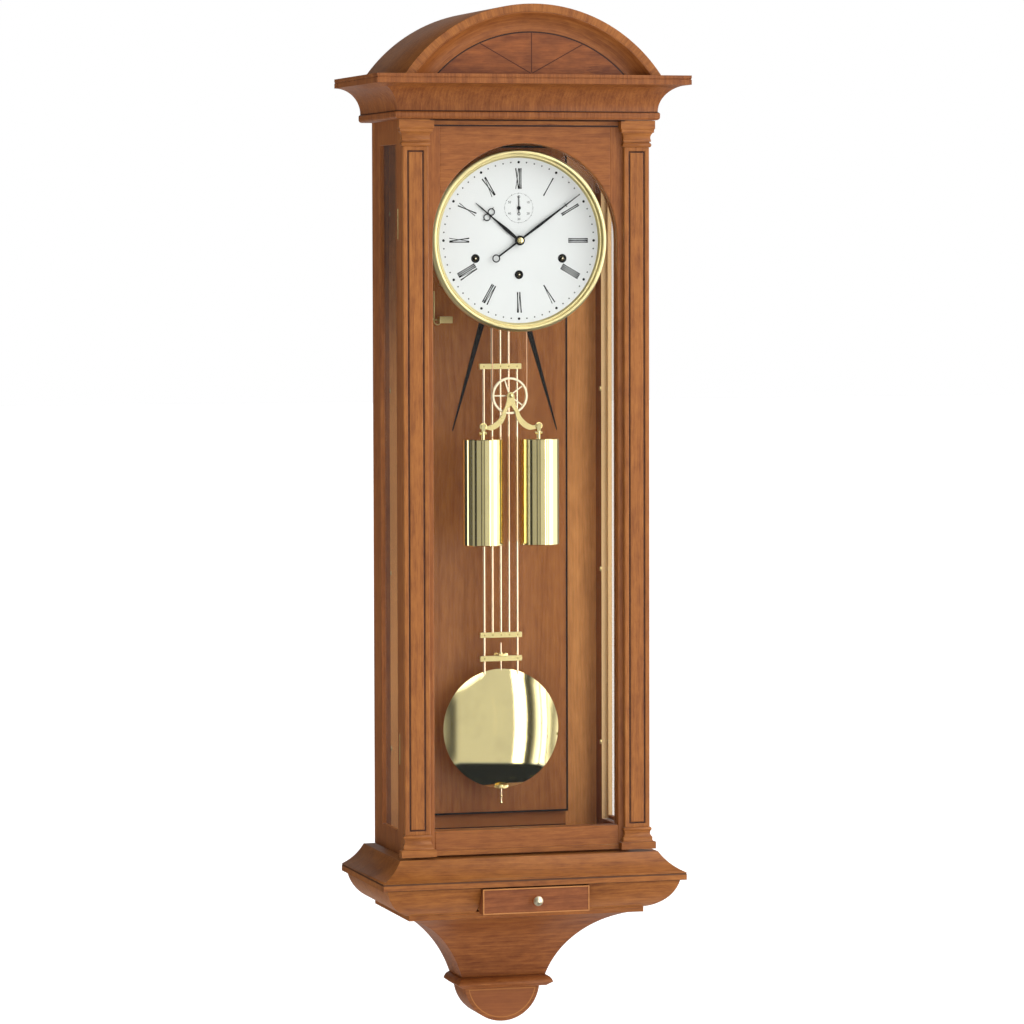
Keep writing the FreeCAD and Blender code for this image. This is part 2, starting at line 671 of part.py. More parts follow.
def make_drawer():
    half = s.drawer_half
    low = base_low + s.drawer_rise
    high = low + s.drawer_high
    front_back = -(s.drawer_front_y - s.drawer_front_thick)
    board = box("drawer_board", (-half, half), (-s.drawer_front_y, front_back), (low, high))
    hole = rod_y("knob_hole", ZERO, (low + high) / 2, s.knob_stem,
                 -(s.drawer_front_y + s.cut_over), -(s.drawer_front_y - s.knob_stem))
    keep(cut("drawer_front", board, hole))
    box_half = half - s.drawer_play - s.drawer_wall / 2
    box_low = base_low + s.base_wall + s.runner_high + s.drawer_play / 2
    box_high = high - s.drawer_wall
    outer = box("drawer_outer", (-box_half, box_half), (front_back, front_back + s.drawer_deep),
                (box_low, box_high))
    inner = box("drawer_inner", (-(box_half - s.drawer_wall), box_half - s.drawer_wall),
                (front_back + s.drawer_wall, front_back + s.drawer_deep - s.drawer_wall),
                (box_low + s.drawer_wall / 2, box_high + s.cut_over))
    keep(cut("drawer_box", outer, inner))
    radius = s.knob_radius
    length = s.knob_length
    stem = s.knob_stem
    knob = [(ZERO, ZERO), (ZERO, stem), (-length * 0.3, stem * 0.7), (-length * 0.5, stem * 0.8, -0.9),
            (-length * 0.62, radius, 0.72), (-length * 0.86, radius * 0.82, 1.1),
            (-length, radius * 0.3), (-length, ZERO)]
    keep(turned("drawer_knob", "Y", knob, y=-(s.drawer_front_y - stem), z=(low + high) / 2))


def make_corbel():
    """A bracket that narrows downwards in a cove, in width and in depth."""
    low = base_low - s.corbel_height
    edge = [(s.corbel_foot_half, low, -CORBEL_SIDE_SHARE), (s.corbel_top_half, base_low, None)]
    across = slab("corbel_across", "front", both_sides(edge), -s.corbel_top_depth, ZERO)
    fore = [(-s.corbel_top_depth, base_low, -CORBEL_FORE_SHARE), (-s.corbel_foot_depth, low), (ZERO, low),
            (ZERO, base_low)]
    through = slab("corbel_through", "side", fore, -s.corbel_top_half, s.corbel_top_half)
    keep(common("corbel", across, through))
    shares = ((0.1, 0.0, None), (1.0, 0.38, 0.95), (0.1, 1.0, None))
    neck = moulding("corbel_neck", shares, s.neck_half - s.neck_inset, s.neck_depth - s.neck_inset,
                    ZERO, low - s.neck_height, s.neck_height, s.neck_inset)
    neck_low = low - s.neck_height
    disc = rod_y("drop_disc", ZERO, neck_low + s.drop_hidden, s.drop_radius, -s.drop_depth, ZERO)
    half_box = box("drop_half", (-s.drop_radius, s.drop_radius), (-s.drop_depth, ZERO),
                   (neck_low - s.drop_radius, neck_low))
    keep(group("corbel_pendant", neck, common("corbel_drop", disc, half_box)))


# Door: frame, glass, beads, pilasters and hinges

door_back = -(s.case_depth + s.door_gap)
door_front = door_back - s.door_thick
door_low = case_foot + s.door_foot_gap
door_high = cornice_low - s.door_head_gap
spring_z = -s.arch_drop
sill_z = door_low + s.sill_high


def door_rebate(label):
    half = s.arch_half + s.rebate_wide
    return slab(label, "front", arched(half, sill_z - s.rebate_wide, spring_z),
                door_front + s.rebate_lip, door_back + s.cut_over)


def hinge_levels():
    return (-s.hinge_high_drop, -s.hinge_low_drop)


def make_door_frame():
    haunch_z = spring_z + root(s.arch_half * s.arch_half - s.haunch_half * s.haunch_half)
    stile = [(s.arch_half, door_low), (s.door_half, door_low), (s.door_half, door_high),
             (s.haunch_half, door_high), (s.haunch_half, haunch_z, (s.arch_half, -1)),
             (s.arch_half, spring_z)]
    right = cut("door_stile_right", slab("stile_blank", "front", stile, door_front, door_back),
                door_rebate("stile_rebate"))
    left_blank = mirrored("door_stile_left_blank", right)
    seats = [box("leaf_seat", (hinge_x, hinge_x + s.leaf_reach),
                 (door_back - s.leaf_thick, door_back + s.cut_over),
                 (level, level + s.knuckle_length)) for level in hinge_levels()]
    keep(group("door_stiles", right, cut("door_stile_left", left_blank, *seats)))
    head = [(s.haunch_half, haunch_z), (s.haunch_half, door_high), (-s.haunch_half, door_high),
            (-s.haunch_half, haunch_z, (s.arch_half, -1)), (ZERO, spring_z + s.arch_half,
                                                           (s.arch_half, -1))]
    top = cut("door_head", slab("head_blank", "front", head, door_front, door_back),
              door_rebate("head_rebate"))
    sill = cut("door_sill", box("sill_blank", (-s.arch_half, s.arch_half), (door_front, door_back),
                                (door_low, sill_z)), door_rebate("sill_rebate"))
    keep(group("door_rails", top, sill))


def make_door_glass():
    lip = door_front + s.rebate_lip
    back = lip + s.door_glass_thick
    half = s.arch_half + s.rebate_wide - s.glass_play
    pane = slab("glass_blank", "front", arched(half, sill_z - s.rebate_wide + s.glass_play, spring_z),
                lip, back)
    doc.recompute()
    front_edges = [edge for edge in pane.Shape.Edges
                   if all(abs(v.Y - lip.value) < s.glass_play.value for v in edge.Vertexes)]
    face = [f for f in pane.Shape.Faces if abs(f.CenterOfMass.y - lip.value) < s.glass_play.value][0]
    bevelled = pane.Shape.makeChamfer(s.bevel_deep.value, s.bevel_wide.value, front_edges)
    if abs(bevelled.Volume - pane.Shape.Volume) < face.Area * s.cut_over.value / 1e3:
        raise ValueError("the door glass has lost its bevel")
    keep(solid("door_glass", bevelled))
    ring = slab("bead_blank", "front", arched(half, sill_z - s.rebate_wide + s.glass_play, spring_z),
                back, back + s.bead_thick)
    sight = slab("bead_sight", "front", arched(s.arch_half, sill_z, spring_z),
                 back - s.cut_over, back + s.bead_thick + s.cut_over)
    keep(cut("glass_beads", ring, sight))


def make_pilasters():
    front = door_front - s.pilaster_proud
    inner = s.pilaster_inner
    outer = s.door_half
    low = door_low + s.plinth_high
    high = door_high - s.capital_high
    shaft = box("shaft_blank", (inner, outer), (front, door_front), (low, high))
    inlay_x = (inner + s.inlay_side, outer - s.inlay_side)
    inlay_z = (low + s.inlay_end, high - s.inlay_end)
    line = []
    for label in ("shaft_groove", "shaft_line"):
        rim = box(label + "_outer", inlay_x, (front, front + s.inlay_deep), inlay_z)
        core = box(label + "_inner", (inlay_x[0] + s.inlay_wide, inlay_x[1] - s.inlay_wide),
                   (front - s.cut_over, front + s.inlay_deep + s.cut_over),
                   (inlay_z[0] + s.inlay_wide, inlay_z[1] - s.inlay_wide))
        line.append(cut(label, rim, core))
    keep(pair("pilaster_shafts", cut("shaft_right", shaft, line[0])))
    keep(pair("pilaster_stringing", line[1]))
    make_capitals(inner, outer, front, low, high)


def make_capitals(inner, outer, front, low, high):
    half = (outer - inner) / 2
    middle = (outer + inner) / 2
    capital_shares = (
        (0.1, 0.0, 0.6), (0.1, 0.17, None), (0.06, 0.17, None), (0.06, 0.21, None),
        (0.28, 0.21, None), (0.28, 0.265, -0.85), (0.66, 0.55, None), (0.8, 0.55, None),
        (0.8, 0.66, None), (0.98, 0.69, None), (0.98, 1.0, None),
    )
    plinth_shares = (
        (1.02, 0.0, None), (1.02, 0.32, -0.75), (0.42, 0.42, None), (0.42, 0.55, -0.85),
        (0.1, 0.8, None), (0.1, 0.83, 0.6), (0.1, 1.0, None),
    )
    capital = moulding("capital_right", capital_shares, half, -front, -door_front, high,
                       s.capital_high, s.capital_reach)
    plinth = moulding("plinth_right", plinth_shares, half, -front, -door_front, door_low,
                      s.plinth_high, s.capital_reach)
    place(capital, x=middle)
    place(plinth, x=middle)
    inside = (-(inner - s.capital_reach * 1.05), inner - s.capital_reach * 1.05)
    proud = (door_front - s.fillet_proud, door_front)
    head = box("head_fillet", inside, proud, (door_high - s.fillet_high, door_high))
    foot = box("foot_fillet", inside, proud, (door_low, door_low + s.fillet_high))
    keep(group("pilaster_capitals", capital, mirrored("capital_left", capital), head))
    keep(group("pilaster_bases", plinth, mirrored("plinth_left", plinth), foot))


hinge_x = -(s.case_half + s.knuckle_radius + s.knuckle_gap)
hinge_y = door_back + s.knuckle_radius + s.knuckle_gap


def make_hinges():
    """Butt hinges at the left: a knuckle in the corner between the case side and the door's back."""
    bore = s.pin_radius + s.pin_play
    case_parts = []
    door_parts = []
    for level in hinge_levels():
        low = level - s.knuckle_length
        high = level + s.knuckle_length
        lower = rod_z("case_knuckle", hinge_x, hinge_y, s.knuckle_radius, low,
                      level - s.knuckle_gap)
        flap = box("case_leaf", (-(s.case_half + s.leaf_thick), -s.case_half),
                   (hinge_y, hinge_y + s.leaf_reach), (low, level - s.knuckle_gap))
        case_parts.append(cut("case_hinge", fuse("case_hinge_blank", lower, flap),
                              rod_z("case_bore", hinge_x, hinge_y, bore, low - s.cut_over, high)))
        pin = rod_z("hinge_pin", hinge_x, hinge_y, s.pin_radius, low, high + s.knuckle_gap)
        caps = [rod_z("pin_cap", hinge_x, hinge_y, s.pin_head, high + s.knuckle_gap,
                      high + s.knuckle_gap + s.pin_head_high),
                rod_z("pin_foot", hinge_x, hinge_y, s.pin_head, low - s.pin_head_high, low)]
        case_parts.append(fuse("hinge_pin_headed", pin, *caps))
        upper = rod_z("door_knuckle", hinge_x, hinge_y, s.knuckle_radius, level, high)
        web = box("door_leaf", (hinge_x, hinge_x + s.leaf_reach),
                  (door_back - s.leaf_thick, door_back), (level, high))
        neck = box("door_leaf_neck", (hinge_x, hinge_x + s.pin_radius),
                   (door_back - s.leaf_thick, hinge_y - s.pin_radius), (level, high))
        door_parts.append(cut("door_hinge", fuse("door_hinge_blank", upper, web, neck),
                              rod_z("door_bore", hinge_x, hinge_y, bore, low, high + s.cut_over)))
    magnet, plate = make_catch()
    keep(group("case_hardware", magnet, *case_parts))
    keep(group("door_hardware", plate, *door_parts))


def make_catch():
    """A magnet that stands on the case floor and the steel plate that it holds on the door's foot."""
    low = case_foot + s.board_thick
    near = (s.catch_x - s.catch_wide / 2, s.catch_x + s.catch_wide / 2)
    plate_back = door_back + s.catch_plate_thick
    magnet = box("catch_magnet", near, (plate_back + s.catch_gap, plate_back + s.catch_gap + s.catch_deep),
                 (low, low + s.catch_high))
    plate = box("catch_plate", near, (door_back, plate_back), (low + s.catch_gap, low + s.catch_high))
    return magnet, plate


# Dial

def winding_places():
    return ((ZERO, dial_z - s.time_wind_drop), (-s.side_wind_x, dial_z - s.side_wind_drop),
            (s.side_wind_x, dial_z - s.side_wind_drop))


def make_dial():
    back = -(s.dial_front - s.dial_thick)
    plate = rod_y("dial_blank", ZERO, dial_z, s.dial_radius, -s.dial_front, back)
    front = -(s.dial_front + s.cut_over)
    past = back + s.cut_over
    holes = [rod_y("winding_hole", x, z, s.grommet_radius, front, past)
             for x, z in winding_places()]
    holes.append(rod_y("centre_hole", ZERO, dial_z, s.hour_pipe_radius + s.dial_play * 3, front, past))
    holes.append(rod_y("seconds_hole", ZERO, dial_z + s.seconds_rise,
                       s.arbor_radius + s.dial_play * 3, front, past))
    keep(cut("dial", plate, *holes))
    rims = []
    for x, z in winding_places():
        rim = turned("grommet", "Y", [
            (-(s.dial_front + s.grommet_deep * 0.3), s.grommet_hole),
            (-(s.dial_front + s.grommet_deep * 0.3), s.grommet_radius - s.dial_play, -0.7071),
            (-s.dial_front, s.grommet_radius), (back, s.grommet_radius), (back, s.grommet_hole)],
            x=x, z=z)
        rims.append(rim)
    keep(group("winding_grommets", *rims))
    make_bezel()


def make_bezel():
    deep = s.bezel_deep
    band = s.bezel_radius - s.bezel_inner
    face = -(s.dial_front + s.dial_play)
    lip = s.dial_radius + s.dial_play
    outline = [
        (face + deep * 0.45, lip), (face, lip), (face, s.bezel_inner),
        (face - deep * 0.28, s.bezel_inner + band * 0.2, None),
        (face - deep * 0.28, s.bezel_inner + band * 0.3, None),
        (face - deep * 0.2, s.bezel_inner + band * 0.34, None),
        (face - deep * 0.2, s.bezel_inner + band * 0.42, None),
        (face - deep * 0.5, s.bezel_inner + band * 0.46, -0.62),
        (face - deep * 0.12, s.bezel_radius, None), (face + deep * 0.45, s.bezel_radius, None),
    ]
    keep(turned("dial_bezel", "Y", outline, z=dial_z))


# Hands, worked out as flat outlines

def flat(points, front, thick):
    """A flat piece in the XZ plane: points are (across, up), its front at y = front."""
    corners = [Vector(x, front, z) for x, z in points]
    face = Part.Face(Part.makePolygon(corners + corners[:1]))
    return face.extrude(Vector(0, thick, 0))


def ring(radius, wire, front, thick, x=0.0, z=0.0):
    centre = Vector(x, front, z)
    along = Vector(0, 1, 0)
    outer = Part.makeCylinder(radius, thick, centre, along)
    return outer.cut(Part.makeCylinder(radius - wire, thick, centre, along))


def set_hand(shape, angle, x=0.0, z=0.0):
    """Turns a hand that points up clockwise, as seen from the front, and puts it on its arbor."""
    shape.rotate(Vector(), Vector(0, 1, 0), angle)
    shape.translate(Vector(x, 0, z))
    return shape


def blade(reach, boss, widths, front, thick):
    """A tapering blade from the boss outwards: widths are (share of reach, half-width share)."""
    right = [(boss * half, reach * along) for along, half in widths]
    left = [(-x, z) for x, z in reversed(right)]
    return flat(right + left, front, thick)


def make_hour_hand():
    reach = s.hour_reach.value
    boss = s.hour_boss.value
    thick = s.hand_thick.value
    wire = s.ring_wire.value
    front = -(s.dial_front.value + s.hour_stand.value)
    radius = s.hour_ring.value
    at = s.hour_ring_at.value
    widths = ((0.0, 0.5), (0.08, 0.62), (0.32, 0.5), (0.6, 0.2), (0.9, 0.13), (1.0, 0.06))
    shape = blade(reach, boss, widths, front, thick)
    for side in (-1, 1):
        shape = shape.fuse(ring(radius, wire, front, thick, side * radius, at))
        spur = flat([(side * radius * 1.7, at + radius * 0.5), (side * radius * 2.3, at + radius * 0.5),
                     (side * radius * 1.9, at + radius * 0.9)], front, thick)
        shape = shape.fuse(spur)
    shape = shape.fuse(Part.makeCylinder(boss, thick, Vector(0, front, 0), Vector(0, 1, 0)))
    bore = s.hour_pipe_radius.value
    shape = shape.cut(Part.makeCylinder(bore, thick, Vector(0, front, 0), Vector(0, 1, 0)))
    keep(solid("hour_hand", set_hand(shape, s.hour_angle.value, z=dial_z.value)))


def make_minute_hand():
    reach = s.minute_reach.value
    boss = s.minute_boss.value
    thick = s.hand_thick.value
    wire = s.ring_wire.value
    front = -(s.dial_front.value + s.minute_stand.value)
    widths = ((0.0, 0.4), (0.06, 0.45), (0.24, 0.52), (0.55, 0.24), (0.97, 0.14), (1.0, 0.05))
    shape = blade(reach, boss, widths, front, thick)
    cross = [(boss * 0.36, reach * 0.85), (boss * 0.36, reach * 0.865),
             (-boss * 0.36, reach * 0.865), (-boss * 0.36, reach * 0.85)]
    shape = shape.fuse(flat(cross, front, thick))
    tail = s.minute_tail.value - s.minute_ring.value + wire / 2
    stem = [(boss * 0.17, 0.0), (-boss * 0.17, 0.0), (-boss * 0.17, -tail), (boss * 0.17, -tail)]
    shape = shape.fuse(flat(stem, front, thick))
    shape = shape.fuse(ring(s.minute_ring.value, wire, front, thick, 0.0, -s.minute_tail.value))
    shape = shape.fuse(Part.makeCylinder(boss, thick, Vector(0, front, 0), Vector(0, 1, 0)))
    bore = s.pipe_radius.value
    shape = shape.cut(Part.makeCylinder(bore, thick, Vector(0, front, 0), Vector(0, 1, 0)))
    keep(solid("minute_hand", set_hand(shape, s.minute_angle.value, z=dial_z.value)))


def make_seconds_hand():
    reach = s.seconds_reach.value
    boss = s.seconds_boss.value
    thick = s.hand_thick.value
    wire = s.ring_wire.value / 2
    front = -(s.dial_front.value + s.seconds_stand.value)
    widths = ((0.0, 0.3), (0.5, 0.2), (1.0, 0.1))
    shape = blade(reach, boss, widths, front, thick)
    tail = s.seconds_tail.value - s.seconds_ring.value + wire / 2
    stem = [(boss * 0.2, 0.0), (-boss * 0.2, 0.0), (-boss * 0.2, -tail), (boss * 0.2, -tail)]
    shape = shape.fuse(flat(stem, front, thick))
    shape = shape.fuse(ring(s.seconds_ring.value, wire, front, thick, 0.0, -s.seconds_tail.value))
    shape = shape.fuse(Part.makeCylinder(boss, thick, Vector(0, front, 0), Vector(0, 1, 0)))
    bore = s.arbor_radius.value
    shape = shape.cut(Part.makeCylinder(bore, thick, Vector(0, front, 0), Vector(0, 1, 0)))
    keep(solid("seconds_hand", set_hand(shape, 0.0, z=(dial_z + s.seconds_rise).value)))


# Movement frame

def make_plates():
    half = s.plate_half
    outline = [(s.plate_foot_half, dial_z - s.plate_low), (half, dial_z - s.plate_shoulder),
               (half, dial_z + s.plate_shoulder), (s.plate_shoulder, dial_z + s.plate_high),
               (-s.plate_shoulder, dial_z + s.plate_high), (-half, dial_z + s.plate_shoulder),
               (-half, dial_z - s.plate_shoulder), (-s.plate_foot_half, dial_z - s.plate_low)]
    hole = s.pivot_radius + s.pivot_play
    pieces = []
    for label, inner, thick in (("back", -(s.back_plate_y + s.plate_thick), s.plate_thick),
                                ("front", -(s.front_plate_y + s.plate_thick), s.plate_thick)):
        plate = slab(label + "_plate_blank", "front", outline, inner, inner + thick)
        holes = []
        for x, z in arbor_places():
            holes.append(solid(label + "_pivot_hole", bore_at(x, z, hole.value, inner, thick)))
        anchor_hole = s.crutch_clear.value if label == "back" else hole.value
        holes.append(solid(label + "_anchor_hole",
                           bore_at(0.0, pivot_z.value, anchor_hole, inner, thick)))
        if label == "front":
            through = s.arbor_radius.value + s.dial_play.value
            seconds_z = (dial_z + s.seconds_rise).value
            holes.append(solid("seconds_through", bore_at(0.0, seconds_z, through, inner, thick)))
            centre_through = s.pipe_radius.value + s.dial_play.value
            holes.append(solid("centre_through",
                               bore_at(0.0, dial_z.value, centre_through, inner, thick)))
            motion_x, motion_z = train_places()["motion"]
            holes.append(solid("motion_stud_hole",
                               bore_at(motion_x, motion_z, hole.value, inner, thick)))
            square_through = s.square_half.value * 2 + s.dial_play.value
            for x, z in winding_places():
                holes.append(solid("square_through", bore_at(number(x), z.value, square_through,
                                                             inner, thick)))
        pieces.append(cut(label + "_plate", plate, *holes))
    pillars = []
    for x in (-s.pillar_x, s.pillar_x):
        pillars.append((x, dial_z + s.pillar_rise))
    for x in (-s.low_pillar_x, s.low_pillar_x):
        pillars.append((x, dial_z - s.low_pillar_drop))
    for x, z in pillars:
        pieces.append(rod_y("plate_pillar", x, z, s.pillar_radius, -s.front_plate_y,
                            -(s.back_plate_y + s.plate_thick)))
    pieces.append(rod_y("cable_post", -s.cable_pitch_radius, dial_z - s.cable_post_drop,
                        s.cable_post_radius, -s.front_plate_y,
                        -(s.back_plate_y + s.plate_thick)))
    for x in (-s.dial_foot_x, s.dial_foot_x):
        for z in (dial_z + s.dial_foot_z, dial_z - s.dial_foot_z):
            pieces.append(rod_y("dial_foot", x, z, s.dial_foot_radius,
                                -(s.dial_front - s.dial_thick),
                                -(s.front_plate_y + s.plate_thick)))
    keep(group("movement_plates", *pieces))


def bore_at(x, z, radius, inner, thick):
    over = s.cut_over.value
    start = Vector(x, number(inner) - over, z)
    return Part.makeCylinder(radius, number(thick) + over * 2, start, Vector(0, 1, 0))


def make_bracket():
    """The bracket that carries the movement from the back board, and the pendulum's cock."""
    low = dial_z - s.bracket_drop
    high = low + s.bracket_high
    foot_low = (low + high) / 2 - s.bracket_plate_high / 2
    panel_front = back_front - s.panel_thick
    foot = box("bracket_foot", (-s.bracket_plate_half, s.bracket_plate_half),
               (panel_front - s.bracket_plate_thick, panel_front),
               (foot_low, foot_low + s.bracket_plate_high))
    arms = []
    for side in (-1, 1):
        near, far = sorted((s.bracket_x * side, (s.bracket_x + s.bracket_wide) * side), key=number)
        arms.append(box("bracket_arm", (near, far),
                        (-s.back_plate_y, panel_front - s.bracket_plate_thick), (low, high)))
    bracket = fuse("bracket", foot, *arms)
    cock = box("cock_blank", (-s.cock_half, s.cock_half), (-s.cock_front, panel_front),
               (pivot_z - s.cock_high / 2, pivot_z + s.cock_high / 2))
    bore = rod_y("cock_bore", ZERO, pivot_z, s.head_pin_radius + s.pivot_play,
                 -(s.cock_front + s.cut_over), -(s.cock_front - s.head_pin_radius * 3))
    half = s.back_cock_half
    bar_y = (-s.back_cock_y, -(s.back_cock_y - s.back_cock_thick))
    tall = (pivot_z - s.back_cock_high / 2, pivot_z + s.back_cock_high / 2)
    bar = box("pallet_cock_bar", (-half, half), bar_y, tall)
    legs = []
    for side in (-1, 1):
        near, far = sorted(((half - s.plate_thick) * side, half * side), key=number)
        legs.append(box("pallet_cock_leg", (near, far), (-s.back_plate_y, -s.back_cock_y), tall))
    pallet_bore = rod_y("pallet_cock_bore", ZERO, pivot_z, s.pivot_radius + s.pivot_play,
                        -(s.back_cock_y + s.cut_over), s.cut_over - s.back_cock_y
                        + s.back_cock_thick)
    pallet_cock = cut("pallet_cock", fuse("pallet_cock_blank", bar, *legs), pallet_bore)
    keep(group("movement_bracket", bracket, cut("suspension_cock", cock, bore), pallet_cock))


def make_pointers():
    """Two ebonised tapered wedges that hang from the back plate, one to each side."""
    wide = s.pointer_wide.value / 2
    tip = s.pointer_tip.value / 2
    start = -s.pointer_start.value
    end = -s.pointer_end.value
    front = -s.back_plate_y.value
    pieces = []
    for side in (-1, 1):
        shape = flat([(wide, start), (-wide, start), (-tip, end), (tip, end)], front,
                     s.pointer_thick.value)
        shape.rotate(Vector(), Vector(0, 1, 0), -s.pointer_angle.value * side)
        shape.translate(Vector(0, 0, dial_z.value))
        pieces.append(solid("ebony_pointer", shape))
    keep(group("ebony_pointers", *pieces))


def make_gong():
    """A brass block on a post, and two bent rods that ring when a hammer strikes them."""
    x = -s.gong_x
    z = -s.gong_drop
    y = (-(s.gong_y + s.gong_deep / 2), -(s.gong_y - s.gong_deep / 2))
    block = box("gong_blank", (x - s.gong_wide / 2, x + s.gong_wide / 2), y,
                (z - s.gong_high / 2, z + s.gong_high / 2))
    post = rod_y("gong_post", x, z, s.gong_post_radius, y[1], back_front - s.panel_thick)
    rods = []
    for step in (-1, 1):
        rods.append(solid("gong_rod", bent_rod(
            (x - s.gong_wide / 2).value, -s.gong_y.value + step * s.gong_rod_pitch.value / 2,
            z.value, s.gong_bend.value, s.gong_rod_rise.value, s.gong_rod_radius.value)))
    keep(group("gong", fuse("gong_block", block, post), *rods))


def bent_rod(x, y, z, bend, rise, radius):
    """A round rod that leaves a block sideways, turns up in a quarter circle and rises."""
    lead = bend / 2
    start = Vector(x, y, z)
    corner = Vector(x - lead, y, z)
    turn = Vector(x - lead - bend, y, z + bend)
    centre = Vector(x - lead, y, z + bend)
    slope = bend * math.sqrt(0.5)
    middle = Vector(centre.x - slope, y, centre.z - slope)
    path = Part.Wire([Part.LineSegment(start, corner).toShape(), Part.Arc(corner, middle, turn).toShape(),
                      Part.LineSegment(turn, Vector(turn.x, y, z + rise)).toShape()])
    section = Part.Wire(Part.makeCircle(radius, start, Vector(-1, 0, 0)))
    return path.makePipeShell([section], True, False)


# Going train: involute wheels with shortened wheel teeth, turned so that each pair is in mesh

def involute(angle):
    return math.tan(angle) - angle


def tooth_half_angle(radius, pitch_radius, teeth):
    base = pitch_radius * math.cos(PRESSURE_ANGLE)
    at = math.acos(min(1.0, base / radius))
    return math.pi / (2 * teeth) + involute(PRESSURE_ANGLE) - involute(at)


WHEEL_ADDENDUM = 0.6
PINION_ADDENDUM = 0.9
ROOT_CLEARANCE = 0.25
HUB_SHARE = 0.22
RIM_MODULES = 3.2
SPOKE_SHARE = 0.09


def toothed(teeth, module, leads, front, thick, phase, spoked=False):
    """A toothed disc centred on the Y axis. phase is the angle of one tooth, from +X towards +Z."""
    pitch = teeth * module / 2
    addendum = WHEEL_ADDENDUM if leads else PINION_ADDENDUM
    mate = PINION_ADDENDUM if leads else WHEEL_ADDENDUM
    tip = pitch + addendum * module
    foot = pitch - (mate + ROOT_CLEARANCE) * module
    points = []
    for index in range(teeth):
        middle = phase + 2 * math.pi * index / teeth
        flank = []
        for radius in (foot, pitch, tip):
            half = tooth_half_angle(radius, pitch, teeth) - s.backlash.value / (2 * radius)
            flank.append((radius, half))
        for radius, half in flank:
            points.append((radius * math.cos(middle - half), radius * math.sin(middle - half)))
        for radius, half in reversed(flank):
            points.append((radius * math.cos(middle + half), radius * math.sin(middle + half)))
    disc = flat(points, front, thick)
    if spoked:
        disc = cross_out(disc, pitch, module, front, thick)
    return disc


def cross_out(disc, pitch, module, front, thick):
    """Cuts the wheel's centre away between its spokes."""
    inner = pitch - RIM_MODULES * module
    hub = pitch * HUB_SHARE
    along = Vector(0, 1, 0)
    gap = Part.makeCylinder(inner, thick, Vector(0, front, 0), along)
    gap = gap.cut(Part.makeCylinder(hub, thick, Vector(0, front, 0), along))
    for index in range(SPOKES):
        width = pitch * SPOKE_SHARE
        arm = Part.makeBox(width, thick, inner, Vector(-width / 2, front, 0))
        arm.rotate(Vector(), along, 360 * index / SPOKES)
        gap = gap.cut(arm)
    return disc.cut(gap)


def arbor(radius, front, back):
    return Part.makeCylinder(radius, back - front, Vector(0, front, 0), Vector(0, 1, 0))


def pivoted(front, back):
    """A plain arbor with a thin pivot in each plate."""
    thick = s.plate_thick.value
    play = s.dial_play.value
    shape = arbor(s.arbor_radius.value, front + play, back - play)
    return shape.fuse(arbor(s.pivot_radius.value, front - thick, back + thick))


def direction(start, end):
    return math.atan2(end[1] - start[1], end[0] - start[0])


def place_between(start, end, first, second, side):
    """The point at the two given distances from start and end, to one side of the line."""
    span = math.dist(start, end)
    along = (first ** 2 - second ** 2 + span ** 2) / (2 * span)
    out = math.sqrt(first ** 2 - along ** 2)
    ux = (end[0] - start[0]) / span
    uz = (end[1] - start[1]) / span
    return (start[0] + ux * along - side * uz * out, start[1] + uz * along + side * ux * out)


def tooth_count(name):
    return TEETH[name + "_teeth"]


def mesh_distance(module, wheel, pinion):
    """How far apart two arbors stand when a wheel of one meshes with a pinion of the other."""
    return module.value * (tooth_count(wheel) + tooth_count(pinion)) / 2


def train_places():
    centre = (0.0, dial_z.value)
    escape = (0.0, (dial_z + s.seconds_rise).value)
    great = (0.0, (dial_z - s.time_wind_drop).value)
    third = place_between(
        centre, escape, mesh_distance(s.centre_module, "centre_wheel", "third_pinion"),
        mesh_distance(s.third_module, "third_wheel", "escape_pinion"), 1)
    middle = place_between(
        great, centre, mesh_distance(s.great_module, "great_wheel", "middle_pinion"),
        mesh_distance(s.middle_module, "middle_wheel", "centre_pinion"), -1)
    motion = (centre[0] + s.motion_distance.value, centre[1])
    return {"centre": centre, "escape": escape, "great": great, "third": third, "middle": middle,
            "motion": motion}


def arbor_places():
    places = train_places()
    turning = [places[name] for name in ("centre", "escape", "great", "third", "middle")]
    side_z = (dial_z - s.side_wind_drop).value
    return turning + [(-s.side_wind_x.value, side_z), (s.side_wind_x.value, side_z)]


def settled(label, shape, at):
    shape.translate(Vector(at[0], 0, at[1]))
    return keep(solid(label, shape))


def gap_phase(angle, teeth):
    """The phase that puts a gap, not a tooth, at an angle."""
    return angle + math.pi / teeth


